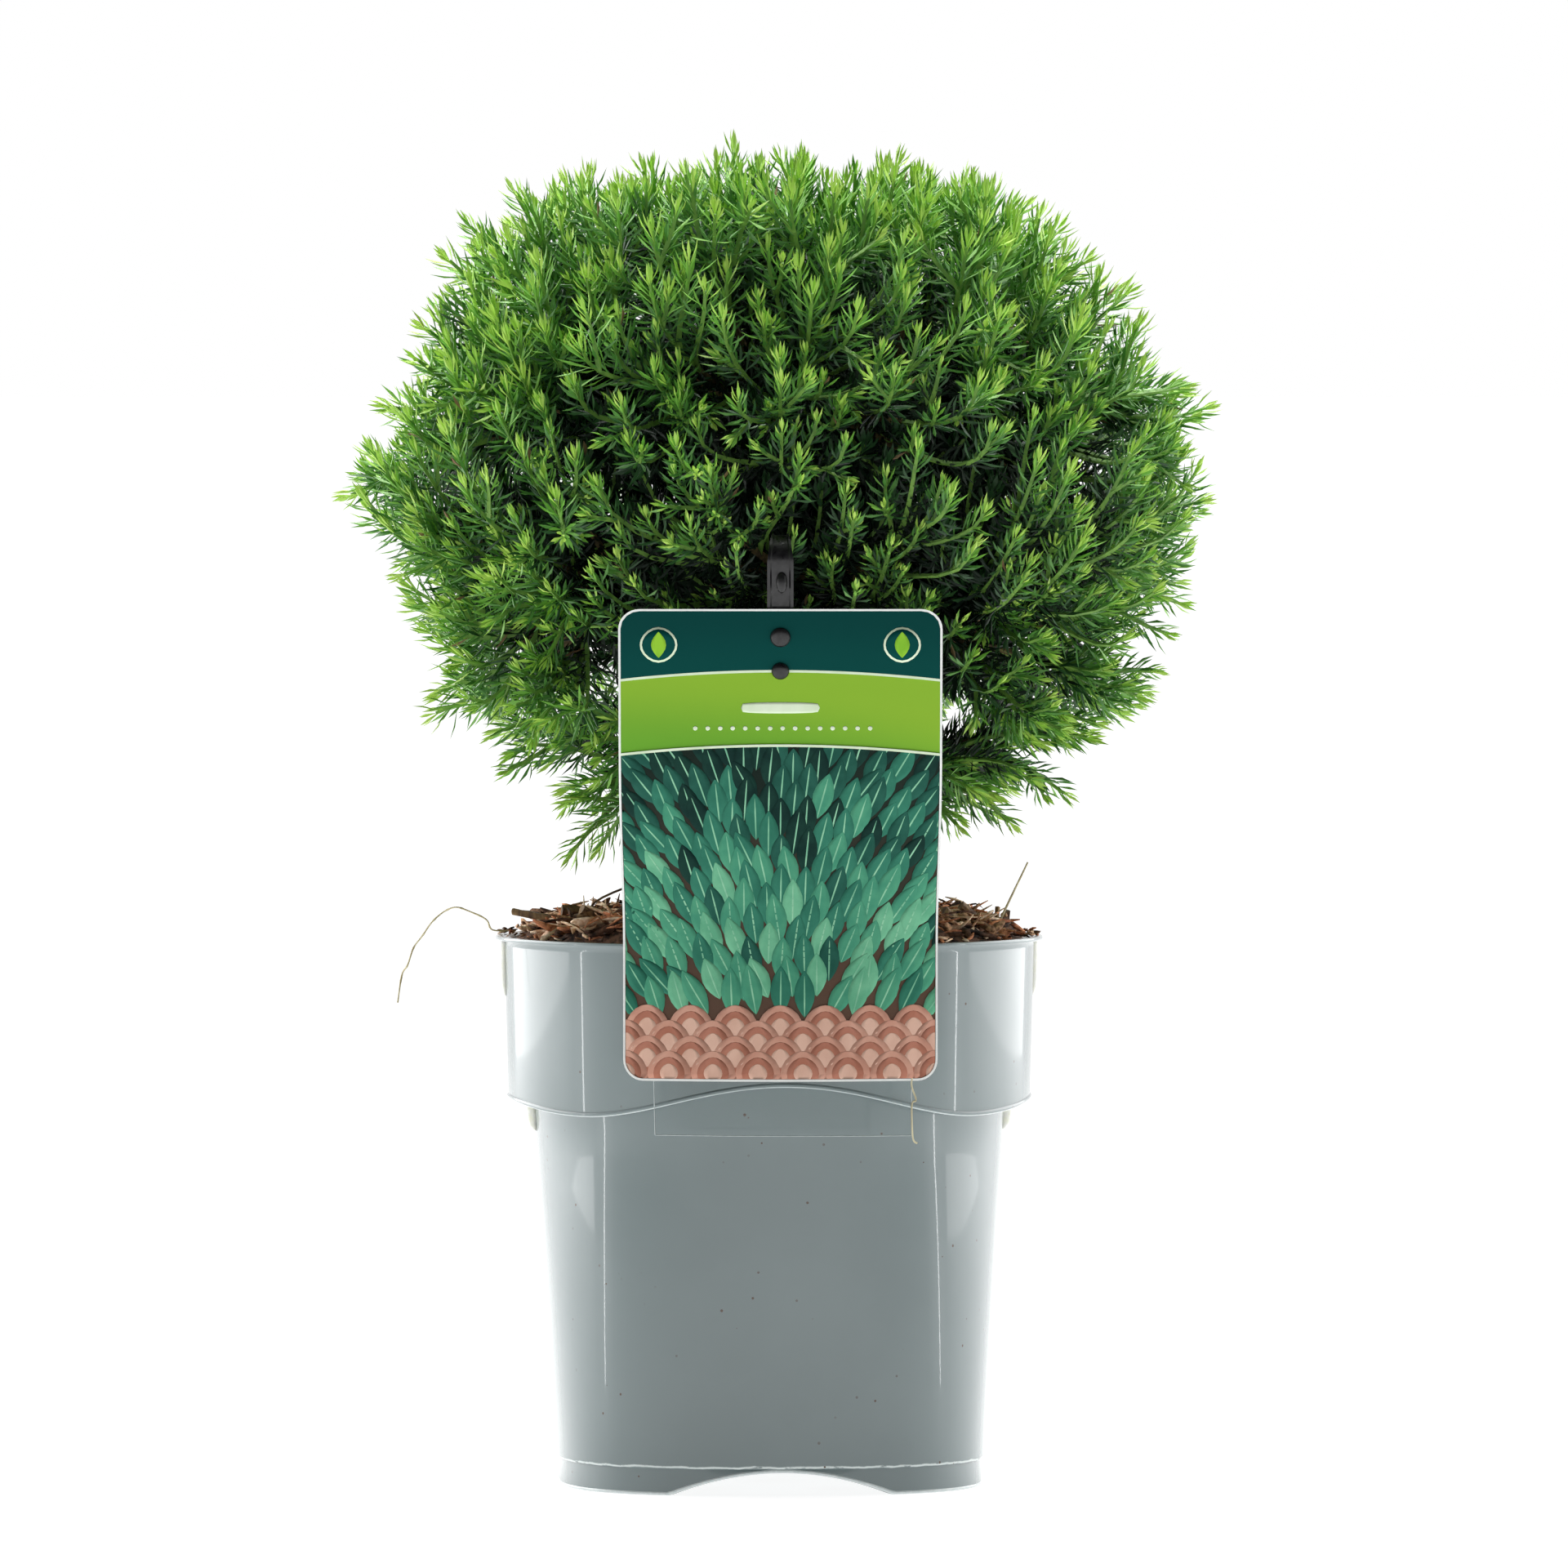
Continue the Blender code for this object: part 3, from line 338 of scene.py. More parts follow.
def colour(red: float, green: float, blue: float) -> tuple[float, float, float, float]:
    """A colour given as it shows on a screen, from 0 to 255, in the shader's own linear values."""
    share = np.array([red, green, blue]) / 255
    linear = np.where(share <= 0.04045, share / 12.92, ((share + 0.055) / 1.055) ** 2.4)
    return (*map(float, linear), 1.0)


class Tint(Enum):
    """The needles' tints from a shoot's tip inwards: name, colour, its near shade and the roughness."""

    # The tip tint is brighter than the new growth's own yellow-green: partly a painted glow, for light
    # shining through the tip needles.
    TIP = ("tip", (186, 220, 104), (166, 210, 88), 0.45)
    YOUNG = ("young", (126, 182, 72), (106, 166, 62), 0.44)
    FRESH = ("fresh", (84, 140, 58), (70, 124, 52), 0.40)
    # The grown and old tints are darker than these needles' own colour: partly painted shade, for the crown's
    # shaded inside.
    GROWN = ("grown", (48, 90, 46), (40, 76, 42), 0.38)
    OLD = ("old", (22, 40, 26), (17, 32, 22), 0.42)
    DRY = ("dry", (134, 110, 78), (116, 90, 62), 0.70)

    def __init__(self, word: str, main: tuple, near: tuple, rough: float) -> None:
        """Keeps the tint's values under their own names."""
        self.word = word
        self.main = main
        self.near = near
        self.rough = rough

    def material(self) -> bpy.types.Material:
        """A soft waxy needle: two near shades that change every few sprays."""
        recipe = Recipe(f"needles_{self.word}", self.rough)
        share = recipe.band(recipe.noise(55.0, 1.0), 0.35, 0.65)
        recipe.set(Base_Color=recipe.mix(share, colour(*self.main), colour(*self.near)))
        recipe.set(Specular_IOR_Level=0.20 if self is Tint.OLD else 0.40)
        return recipe.material


@dataclass(frozen=True)
class WoodFinish:
    """Bark or stem: two colours in streaks, with fine ridges."""

    name: str
    pale: tuple
    dark: tuple
    scale: float = 420.0
    depth: float = 0.0003
    roughness: float = 0.8
    stretch: tuple = (1.0, 1.0, 0.35)

    def material(self) -> bpy.types.Material:
        """Streaked noise colours the wood and lifts its ridges."""
        recipe = Recipe(self.name, self.roughness)
        streaks = recipe.noise(self.scale, 5.0, self.stretch)
        share = recipe.band(streaks, 0.32, 0.68)
        recipe.set(Base_Color=recipe.mix(share, colour(*self.dark), colour(*self.pale)))
        recipe.set(Roughness=recipe.math("MULTIPLY_ADD", streaks, 0.2))
        recipe.shader.inputs["Roughness"].links[0].from_node.inputs[2].default_value = self.roughness - 0.1
        recipe.bump(streaks, self.depth)
        return recipe.material


@dataclass(frozen=True)
class PotFinish:
    """Grey moulded plastic, half glossy, with scuffs along the seam and some specks of potting soil."""

    grey: tuple = (115, 129, 130)
    near: tuple = (119, 133, 134)
    pale: tuple = (216, 226, 224)
    soil: tuple = (84, 66, 52)
    seam_height: float = 0.0088
    seam_wander: float = 0.0014
    seam_widths: tuple = (0.0001, 0.0005)
    wave_depth: float = 0.00025

    def material(self) -> bpy.types.Material:
        """Faint clouds, a thin worn line along the seam and specks over the grey, with a clear sheen."""
        recipe = Recipe("pot_plastic", 0.3)
        height = recipe.part("Z")
        clouds = recipe.noise(26.0, 4.0)
        grey = recipe.mix(recipe.band(clouds, 0.3, 0.7), colour(*self.grey), colour(*self.near))
        wander = recipe.math("MULTIPLY_ADD", recipe.noise(150.0, 4.0), self.seam_wander)
        wander.node.inputs[2].default_value = -self.seam_height - self.seam_wander / 2
        away = recipe.math("ABSOLUTE", recipe.math("ADD", height, wander))
        seam = recipe.math("SUBTRACT", 1.0, recipe.band(away, *self.seam_widths))
        broken = recipe.band(recipe.noise(260.0, 5.0, (1, 1, 2.5)), 0.30, 0.42)
        worn = recipe.mix(recipe.math("MULTIPLY", seam, broken), grey, colour(*self.pale))
        sparse = recipe.band(recipe.noise(60.0), 0.50, 0.62)
        dirt = recipe.math("MULTIPLY", recipe.specks(190.0, 0.085), sparse)
        recipe.set(Base_Color=recipe.mix(dirt, worn, colour(*self.soil)))
        rough = recipe.math("MULTIPLY", recipe.noise(90.0, 4.0, (1, 1, 0.6)), 0.08)
        recipe.set(Roughness=recipe.math("ADD", rough, 0.20))
        recipe.set(Coat_Weight=0.5, Coat_Roughness=0.035, Specular_IOR_Level=0.5)
        waves = recipe.noise(34.0, 1.0, (1.0, 1.0, 0.5))
        grain = recipe.math("MULTIPLY", recipe.noise(700.0), 0.02)
        recipe.bump(recipe.math("ADD", waves, grain), self.wave_depth)
        return recipe.material


@dataclass(frozen=True)
class ChipFinish:
    """A kind of shredded bark: split wood fibres in two browns."""

    name: str
    pale: tuple
    dark: tuple
    depth: float = 0.0006

    def material(self) -> bpy.types.Material:
        """Fine fibres and wider patches change the colour, and the fibres stand up."""
        recipe = Recipe(f"mulch_{self.name}", 0.9)
        fibres = recipe.noise(750.0, 6.0, (1.0, 0.35, 1.0))
        patches = recipe.noise(160.0, 3.0)
        share = recipe.band(recipe.math("MULTIPLY", recipe.math("ADD", fibres, patches), 0.5), 0.38, 0.62)
        recipe.set(Base_Color=recipe.mix(share, colour(*self.dark), colour(*self.pale)))
        recipe.set(Specular_IOR_Level=0.2)
        recipe.bump(fibres, self.depth)
        return recipe.material


@dataclass(frozen=True)
class PlasticFinish:
    """Small moulded plastic, such as the tie: two near colours in a faint mottle, and a soft sheen."""

    name: str
    main: tuple
    near: tuple
    rough: float = 0.35
    grain: float = 0.00003
    clear: float = 0.0

    def material(self) -> bpy.types.Material:
        """A fine mottle in colour, gloss and height."""
        recipe = Recipe(self.name, self.rough)
        mottle = recipe.noise(600.0, 4.0)
        share = recipe.band(mottle, 0.3, 0.7)
        recipe.set(Base_Color=recipe.mix(share, colour(*self.main), colour(*self.near)))
        recipe.set(Roughness=recipe.math("MULTIPLY", mottle, 2 * self.rough), Coat_Weight=0.15)
        recipe.set(Subsurface_Weight=self.clear, Subsurface_Scale=0.004, Subsurface_Radius=(1, 1, 1))
        recipe.bump(mottle, self.grain)
        return recipe.material


@dataclass(frozen=True)
class PrintFinish:
    """Ink on the card: a smooth change between colours up or across the print, under a thin laminate."""

    name: str
    low: tuple
    high: tuple
    turn: float = 90.0
    clouds: float = 0.0
    third: tuple | None = None

    def material(self) -> bpy.types.Material:
        """The ink's colour follows the print's own places, and fine dots of the press break it up."""
        recipe = Recipe(self.name, 0.42)
        place = recipe.add("UVMap", {"uv_map": "print"}).outputs[0]
        angle = math.radians(self.turn)
        way = (math.cos(angle), math.sin(angle), 0)
        share = recipe.add("VectorMath", {"operation": "DOT_PRODUCT"}, {0: place, 1: way}).outputs["Value"]
        if self.clouds:
            blur = recipe.add("TexNoise", inputs={"Vector": place, "Scale": 2.6, "Detail": 1.5}).outputs[0]
            drift = recipe.math("MULTIPLY", recipe.math("SUBTRACT", blur, 0.5), self.clouds)
            share = recipe.math("ADD", share, drift)
        ink = recipe.mix(recipe.band(share, 0.05, 0.95), colour(*self.low), colour(*self.high))
        if self.third:
            ink = recipe.mix(recipe.band(share, 0.75, 1.25), ink, colour(*self.third))
        dots = recipe.add("TexNoise", inputs={"Vector": place, "Scale": 190.0, "Detail": 2.0}).outputs[0]
        recipe.set(Base_Color=recipe.mix(recipe.math("MULTIPLY", dots, 0.006), ink, colour(235, 240, 230)))
        recipe.set(Specular_IOR_Level=0.02)
        return recipe.material


@dataclass(frozen=True)
class InkFinish:
    """Flat printed ink in two near shades, nearly without gloss."""

    name: str
    main: tuple
    near: tuple

    def material(self) -> bpy.types.Material:
        """The shades change in soft clouds with fine dots of the press in them."""
        recipe = Recipe(self.name, 0.42)
        clouds = recipe.noise(150.0, 6.0)
        share = recipe.band(clouds, 0.35, 0.65)
        recipe.set(Base_Color=recipe.mix(share, colour(*self.main), colour(*self.near)))
        recipe.set(Specular_IOR_Level=0.02)
        return recipe.material


@dataclass
class Mass:
    """One mass of foliage: its site, the way out to it, its room's limits, its stem and its core's middle."""

    name: str
    ring: str
    site: Array
    outward: Array
    hollow: float
    ceiling: float
    stem_radius: float
    drop: float
    centre: Array = field(default_factory=lambda: np.zeros(3))


@dataclass(frozen=True)
class Ring:
    """One ring of masses round the trunk: its sites' number, places and first angle, and their rooms."""

    name: str
    count: int
    distance: float
    height: float
    first: float
    hollow: float
    ceiling: float
    stem_radius: float


@dataclass(frozen=True)
class Crown:
    """The crown's outline and how it is shared out among the masses, by the solids' own sizes."""

    heights: tuple = (
        0.184, 0.200, 0.220, 0.240, 0.262, 0.285, 0.306, 0.326, 0.346, 0.367, 0.387, 0.400, 0.410, 0.4165,
    )
    left: tuple = (
        0.050, 0.062, 0.080, 0.109, 0.112, 0.122, 0.133, 0.130, 0.115, 0.109, 0.095, 0.082, 0.066, 0.0,
    )
    right: tuple = (
        0.052, 0.076, 0.098, 0.120, 0.119, 0.137, 0.142, 0.136, 0.129, 0.114, 0.095, 0.086, 0.069, 0.0,
    )
    rings: tuple = (
        Ring("low", 5, 0.050, 0.212, 18, 0.022, 0.200, 0.0017),
        Ring("middle", 6, 0.085, 0.280, 30, 0.040, 0.4165, 0.0018),
        Ring("high", 5, 0.072, 0.348, 54, 0.028, 0.4165, 0.0012),
    )
    centre: tuple = (0.004, 0.0, 0.282)
    top_site: float = 0.392
    top_clear: float = 0.006
    core_share: float = 0.77
    core_grid: float = 0.006
    stagger: float = 0.0025

    def reach(self, height: Array, azimuth: Array) -> Array:
        """The radius at a height, between the right and the left outline by the azimuth's cosine."""
        left = np.interp(height, self.heights, self.left)
        right = np.interp(height, self.heights, self.right)
        return left + (right - left) * (1 + np.cos(azimuth)) / 2

    def inside(self, points: Array, share: float) -> Array:
        """Which points lie within the outline when it is drawn in to this share of its size."""
        middle = np.array(self.centre)
        x, y, z = np.moveaxis(middle + (points - middle) / share, -1, 0)
        near = np.hypot(x, y) <= self.reach(z, np.arctan2(y, x))
        return near & (z >= self.heights[0]) & (z <= self.heights[-1])

    def masses(self, trunk: "Trunk") -> list[Mass]:
        """The masses in three rings round the trunk and one on its tip, each with the middle of its room."""
        made = []
        for ring in self.rings:
            for index in range(ring.count):
                azimuth = math.radians(ring.first) + index * FULL_TURN / ring.count
                outward = np.array([math.cos(azimuth), math.sin(azimuth), 0.0])
                site = np.array([self.centre[0], self.centre[1], ring.height]) + outward * ring.distance
                drop = self.stagger * (2 * index % ring.count)
                room = (ring.hollow, ring.ceiling, ring.stem_radius, drop)
                made.append(Mass(f"{ring.name}_{index + 1}", ring.name, site, outward, *room))
        site = np.array([self.centre[0], self.centre[1], self.top_site])
        room = (trunk.top + self.top_clear, self.heights[-1], trunk.tip_radius, 0.0)
        made.append(Mass("top", "high", site, UP, *room))
        self.find_centres(made)
        return made

    def find_centres(self, masses: list[Mass]) -> None:
        """Sets each mass's centre to the mean of the points of a grid that lie in its own core room."""
        reach = max(self.right)
        across = np.arange(-reach, reach, self.core_grid)
        up = np.arange(self.heights[0], self.heights[-1], self.core_grid)
        points = np.stack(np.meshgrid(across, across, up, indexing="ij"), axis=-1).reshape(-1, 3)
        points = points[self.inside(points, self.core_share)]
        away = np.linalg.norm(points[:, None] - np.stack([mass.site for mass in masses]), axis=-1)
        nearest = away.argmin(axis=1)
        for index, mass in enumerate(masses):
            along = points @ mass.outward
            free = np.minimum(along - mass.hollow, mass.ceiling + along - points[:, 2]) > 0
            mass.centre = points[(nearest == index) & free].mean(axis=0)


@dataclass(frozen=True)
class Label:
    """The printed card: upright below the rim, leaning out above it, and a little curled at its foot."""

    width: float = 0.0985
    length: float = 0.1500
    thick: float = 0.0006
    corner: float = 0.0065
    middle: float = 0.0035
    foot: float = 0.1283
    lean: float = 0.33
    bend_height: float = 0.172
    bend_length: float = 0.015
    curl_radius: float = 0.135
    curl_heights: tuple = (0.170, 0.240)
    clear: float = 0.0015
    rim_radius: float = 0.0850
    seat: float = 0.1687
    border: float = 0.0007
    ink: float = 0.00005

    def depth(self, height: Array) -> Array:
        """The card's y: a smooth bend at the rim from upright to its lean."""
        along = height - self.bend_height
        lean = self.lean * (along + np.sqrt(along**2 + self.bend_length**2)) / 2
        at = self.seat - self.bend_height
        rest = self.lean * (at + math.sqrt(at**2 + self.bend_length**2)) / 2
        return -(self.rim_radius + GAP + self.thick / 2) + rest - lean

    def heights(self, along: Array) -> Array:
        """The height at each length up the card."""
        heights = np.linspace(self.foot - 0.03, self.foot + self.length, 480)
        steps = np.hypot(np.diff(heights), np.diff(self.depth(heights)))
        lengths = np.concatenate(([0.0], np.cumsum(steps)))
        return np.interp(along + np.interp(self.foot, heights, lengths), lengths, heights)

    def place(self, across: Array, along: Array, lift: Array | float) -> Array:
        """Points of the card's surface: an arc across it whose curl fades out as it rises.

        Args:
            across: Distance to the right of the card's middle line.
            along: Length up the card from its foot.
            lift: How far in front of the card's middle surface the point is.

        Returns:
            Points, with their coordinates on a new last axis.
        """
        z = self.heights(along)
        low, high = self.curl_heights
        curl = np.maximum(eased(1.0, 0.0, (z - low) / (high - low)), 0.001) / self.curl_radius
        x = self.middle + np.sin(curl * across) / curl
        y = self.depth(z) + (1 - np.cos(curl * across)) / curl - lift
        return np.stack((x, y, z), axis=-1)

    def half_width(self, along: Array, border: float = 0.0) -> Array:
        """Half the width at a length up the card, less its rounded corners and a border."""
        radius = self.corner - border
        to_end = np.clip(np.minimum(along, self.length - along) - border, 0, radius)
        return self.width / 2 - border - radius + np.sqrt(radius**2 - (radius - to_end) ** 2)

    def hides(self, points: Array) -> Array:
        """Which points come near the card, or lie in front of it."""
        x, y, z = np.moveaxis(points, -1, 0)
        top = float(self.heights(np.array(self.length)))
        near = (np.abs(x - self.middle) < self.width / 2 + self.clear) & (z < top + self.clear)
        return near & (y < self.depth(z) + 2 * self.clear)


@dataclass(frozen=True)
class Trunk:
    """The stem from the mulch to its tip, with its flare, lean and sway, and the boughs that leave it."""

    base: float = 0.1753
    top: float = 0.3350
    radius: float = 0.0062
    tip_radius: float = 0.0020
    flare: float = 0.0042
    flare_length: float = 0.0070
    lean: tuple = (0.0045, 0.0020)
    sway: float = 0.0020
    rings: int = 90
    sides: int = 40
    relief: float = 0.09
    stem_bare: float = 0.006
    stem_rise: float = math.radians(30)
    stem_taper: float = 0.6
    bough_taper: float = 1.6
    bough_sunk: float = 0.0012
    crown_shift: float = 0.004
    bough_lowest: float = 0.188

    def point(self, height: Array) -> Array:
        """The stem's middle: a lean plus one turn of a sine."""
        share = (np.asarray(height) - self.base) / (self.top - self.base)
        sway = self.sway * np.sin(FULL_TURN * share)
        x, y = self.lean[0] * share + sway, self.lean[1] * share - sway / 2
        return np.stack((x, y, height + 0 * share), axis=-1)

    def radius_at(self, height: Array) -> Array:
        """An even taper plus a flare that dies away by a power of e."""
        rise = height - self.base
        share = rise / (self.top - self.base)
        taper = self.radius + (self.tip_radius - self.radius) * share
        return taper + self.flare * np.exp(-rise / self.flare_length)

    def bark(self, paths: Array, radii: Array, sides: int, rng: np.random.Generator) -> Shape:
        """Tubes whose radius rises and falls in long wandering ridges, as fibrous bark does."""
        count, steps = radii.shape
        angle = np.arange(sides) * FULL_TURN / sides
        along = np.linspace(0, 1, steps)
        wander = rng.uniform(0, FULL_TURN, (count, 1, 1)) + 2.2 * np.sin(5 * along)[None, :, None]
        ridges = np.sin(7 * angle + wander) + 0.7 * np.sin(11 * angle - 1.7 * wander)
        knots = rng.normal(size=(count, steps, sides)) * 0.35
        relief = 1 + self.relief * (ridges + knots) / 2
        return tubes(paths, radii[..., None] * relief, sides)

    def build(self, bench: Bench, rng: np.random.Generator) -> None:
        """Puts the stem in place of its node."""
        share = (np.arange(self.rings) / (self.rings - 1)) ** 1.3
        heights = self.base + share * (self.top - self.base)
        shape = self.bark(self.point(heights)[None], self.radius_at(heights)[None], self.sides, rng)
        look = WoodFinish("trunk_bark", (150, 112, 82), (70, 46, 32)).material()
        bench.put("trunk_bark", shape, look, ("trunk",))

    def stem_start(self, mass: Mass) -> tuple[Array, Array]:
        """Where a mass's own stem begins, past its bough's tip or the trunk's, and the way that it runs."""
        if mass.outward[2] > 0:
            return self.point(np.array(self.top)) + mass.outward * GAP, mass.outward
        run = mass.centre @ mass.outward - (mass.hollow - self.stem_bare)
        begin = mass.centre - mass.outward * run - UP * run * math.tan(self.stem_rise)
        return begin, unit(mass.centre - begin)

    def limb(self, mass: Mass, steps: int) -> tuple[Array, Array]:
        """A bough from the trunk and on up its mass's stem: a cubic curve, then a straight run to the middle.

        Args:
            mass: The mass that the bough carries.
            steps: How many points the curve has; the straight run has half as many.

        Returns:
            The limb's points and radii.
        """
        tip, way = self.stem_start(mass)
        t = np.linspace(0, 1, steps)[:, None]
        run = tip @ mass.outward - self.crown_shift * mass.outward[0]
        height = max(tip[2] - run - mass.drop, self.bough_lowest)
        begin = self.point(np.array(height)) + mass.outward * (self.radius_at(height) - self.bough_sunk)
        pull = np.linalg.norm(tip - begin)
        curve = cubic(t, begin, tip, mass.outward * pull, way * pull)
        half = steps // 2 + 1
        inner = tip + (mass.centre - tip) * np.linspace(0, 1, half)[1:, None]
        outer_radii = self.bough_taper + (1 - self.bough_taper) * t[:, 0]
        inner_radii = np.linspace(1, self.stem_taper, half)[1:]
        radii = mass.stem_radius * np.concatenate((outer_radii, inner_radii))
        return np.concatenate((curve, inner)), radii

    def build_limbs(self, bench: Bench, masses: list[Mass], rng: np.random.Generator) -> None:
        """Puts the boughs of each ring in place of their nodes."""
        look = WoodFinish("bough_bark", (146, 116, 74), (84, 60, 38)).material()
        for ring in ("low", "middle", "high"):
            members = [mass for mass in masses if mass.ring == ring and mass.outward[2] == 0]
            limbs = [self.limb(mass, 20) for mass in members]
            paths, radii = (np.stack(rows) for rows in zip(*limbs))
            nodes = tuple(f"bough_{mass.name}" for mass in members)
            bench.put(f"boughs_{ring}", self.bark(paths, radii, 14, rng), look, nodes)


@dataclass
class Shoots:
    """Many shoots, each a cubic curve from its root to its tip that starts and ends along its two pulls."""

    root: Array
    tip: Array
    leave: Array
    arrive: Array
    ring: Array
    vigour: Array

    def at(self, t: Array) -> Array:
        """The curves' points at shares t of their way, one row of shares for each shoot."""
        ends = (part[:, None] for part in (self.root, self.tip, self.leave, self.arrive))
        return cubic(t[..., None], *ends)

    def run(self, t: Array) -> Array:
        """The curves' directions at shares t of their way."""
        t = t[..., None]
        root, tip, leave, arrive = (part[:, None] for part in (self.root, self.tip, self.leave, self.arrive))
        slope = (tip - root) * (6 * t - 6 * t**2)
        return unit(slope + leave * (3 * t**2 - 4 * t + 1) + arrive * (3 * t**2 - 2 * t))

    def picked(self, which: Array) -> "Shoots":
        """The shoots that an array of numbers or of truths picks out."""
        return Shoots(*(part[which] for part in vars(self).values()))

    def length(self) -> Array:
        """Each shoot's length, measured along twelve chords."""
        points = self.at(np.broadcast_to(np.linspace(0, 1, 13), (len(self.root), 13)))
        return np.linalg.norm(np.diff(points, axis=1), axis=-1).sum(axis=1)


@dataclass(frozen=True)
class Foliage:
    """The crown's shoots and needles, grown on from the boughs by the solids' rule to finer twigs."""

    crown: Crown
    trunk: Trunk
    label: Label
    tip_count: int = 840
    inner_count: int = 1400
    leader_every: int = 5
    bunch: float = 0.0056
    lead_bunch: float = 0.0080
    tip_share: tuple = (0.89, 1.0)
    inner_share: tuple = (0.10, 0.79)
    # The inner shoots' tints count from further back: painted shade, darker tints deep in the crown.
    inner_shade_shift: float = 0.016
    upward: tuple = (0.35, 1.5, 2.5)
    upward_heights: tuple = (0.215, 0.300, 0.370)
    twiglets: tuple = (0.014, 0.026)
    twiglet_lengths: tuple = (0.010, 0.018)
    twiglet_chances: tuple = (0.55, 0.42)
    needled: float = 0.056
    pitch: float = 0.0023
    crowding: float = 0.6
    whorl: int = 3
    needle_length: float = 0.0106
    needle_width: float = 0.00112
    inner_width: float = 1.6
    bay: float = 0.045
    bay_heights: tuple = (0.210, 0.266, 0.282)
    bay_levels: tuple = (0.1, -0.6, -9.0)
    inner_bays: float = 1.3
    dense_share: float = 0.64
    bay_side: float = 0.4
    # Vigour also deals the tints: the higher level at the top is partly painted light, brighter tints where
    # the light falls.
    vigour_heights: tuple = (0.27, 0.33, 0.39)
    vigour_and_light_levels: tuple = (0.85, 0.82, 1.25)
    vigour_scatter: float = 0.28
    vigour_range: tuple = (0.3, 1.7)
    # Shoots drawn in from the outline get less vigour and so darker tints, which is partly painted shade; the
    # left gain is partly painted light, brighter tints on the lit left side.
    vigour_and_shade_depths: tuple = ((0.8, 1.0), (0.55, 1.1))
    left_vigour_and_light: float = 0.30
    most_vigour: float = 1.55
    # Less vigour, and so darker tints, in front above the label: partly painted shade under the crown's
    # bulge.
    held_and_shaded_at: tuple = (0.0035, -0.115, 0.288)
    held_and_shaded_reach: float = 0.078
    held_and_shaded_loss: float = 0.66
    fork_back: tuple = (1.1, 1.6)
    fork_least: float = 0.014
    fork_range: tuple = (0.022, 0.075)
    twiglet_angles: tuple = (math.radians(28), math.radians(46))
    lean: tuple = (11, 48)
    lean_length: float = 0.0085
    lean_scatter: float = 8
    young_size: float = 0.60
    young_length: float = 0.003
    belly_place: float = 0.6
    belly_bow: float = 0.045
    needle_thick: float = 0.0004
    stem_radius: float = 0.0006
    tint_places: tuple = (0.0035, 0.0095, 0.0195, 0.0320)
    tint_scatter: float = 0.0008
    dry_chance: float = 0.003
    tie_half_width: float = 0.0050
    tie_depth: float = -0.08
    tie_heights: tuple = (0.247, 0.2985)
    leading: tuple = (
        (0, 0.4168, 0.011), (2, 0.3060, 0.142), (178, 0.3140, 0.133), (178, 0.2430, 0.109),
        (4, 0.2430, 0.124), (90, 0.3080, 0.136), (262, 0.3180, 0.134), (176, 0.4148, 0.042),
        (4, 0.4110, 0.065), (184, 0.4030, 0.079), (178, 0.3930, 0.094), (182, 0.3740, 0.104),
        (177, 0.3630, 0.114), (-3, 0.4030, 0.079), (3, 0.3740, 0.113), (-2, 0.3440, 0.131),
        (0, 0.3330, 0.138), (2, 0.2090, 0.098), (178, 0.2050, 0.068), (200, 0.1920, 0.060),
        (181, 0.2360, 0.111), (-4, 0.2420, 0.122), (3, 0.2290, 0.106), (176, 0.2290, 0.092),
        (1, 0.3850, 0.103), (2, 0.3950, 0.094), (180, 0.2220, 0.086), (2, 0.1990, 0.080),
        (181, 0.1895, 0.066), (180, 0.3960, 0.098), (180, 0.3850, 0.105), (181, 0.4060, 0.083),
        (-1, 0.3740, 0.117), (1, 0.3360, 0.142), (-12, 0.2140, 0.080), (14, 0.2180, 0.082),
    )

    def tips(
        self, count: int, shares: tuple, bays: float, rng: np.random.Generator,
    ) -> tuple[Array, Array, Array]:
        """Tips spread evenly over the outline, with the way that each grows and how far in it lies.

        The heights share out the outline's area evenly, and each azimuth is a golden angle past the last.
        Low down, tips where a smooth random field is small are left out, so that sprigs stand apart, but
        tips deep in the crown all stay.

        Args:
            count: How many tips there are.
            shares: The least and the full share of the outline's reach that a tip has.
            bays: How much wider than usual the bays between sprigs are.
            rng: Where the small shifts are drawn from.

        Returns:
            The tips, their ways and their shares of the full reach.
        """
        heights = np.linspace(self.crown.heights[0], self.crown.heights[-1], 600)
        radii = self.crown.reach(heights, math.pi / 2)
        rise, widen = np.gradient(heights), np.gradient(radii)
        area = np.cumsum(radii * np.hypot(rise, widen))
        order = np.arange(count)
        rows = np.searchsorted(area, area[-1] * (order + rng.uniform(0.2, 0.8, len(order))) / len(order))
        azimuth = order * GOLDEN_ANGLE + rng.uniform(-0.08, 0.08, len(order))
        outward = way_of(azimuth)
        on_outline = outward * self.crown.reach(heights[rows], azimuth)[:, None] + UP * heights[rows, None]
        share = shares[1] - (shares[1] - shares[0]) * rng.random(count) ** 1.3
        middle = np.array(self.crown.centre)
        reach = on_outline - middle
        tips = middle + reach * share[:, None] - unit(reach) * self.bunch
        normal = unit(outward * rise[rows, None] - UP * widen[rows, None])
        way = unit(normal + UP * np.interp(heights[rows], self.upward_heights, self.upward)[:, None])
        field = ripple(on_outline, self.bay, np.random.default_rng(SEED)) + self.bay_side * np.cos(azimuth)
        keep = field > np.interp(heights[rows], self.bay_heights, self.bay_levels) + bays
        keep |= share < self.dense_share
        return self.tucked(tips)[keep], way[keep], share[keep]

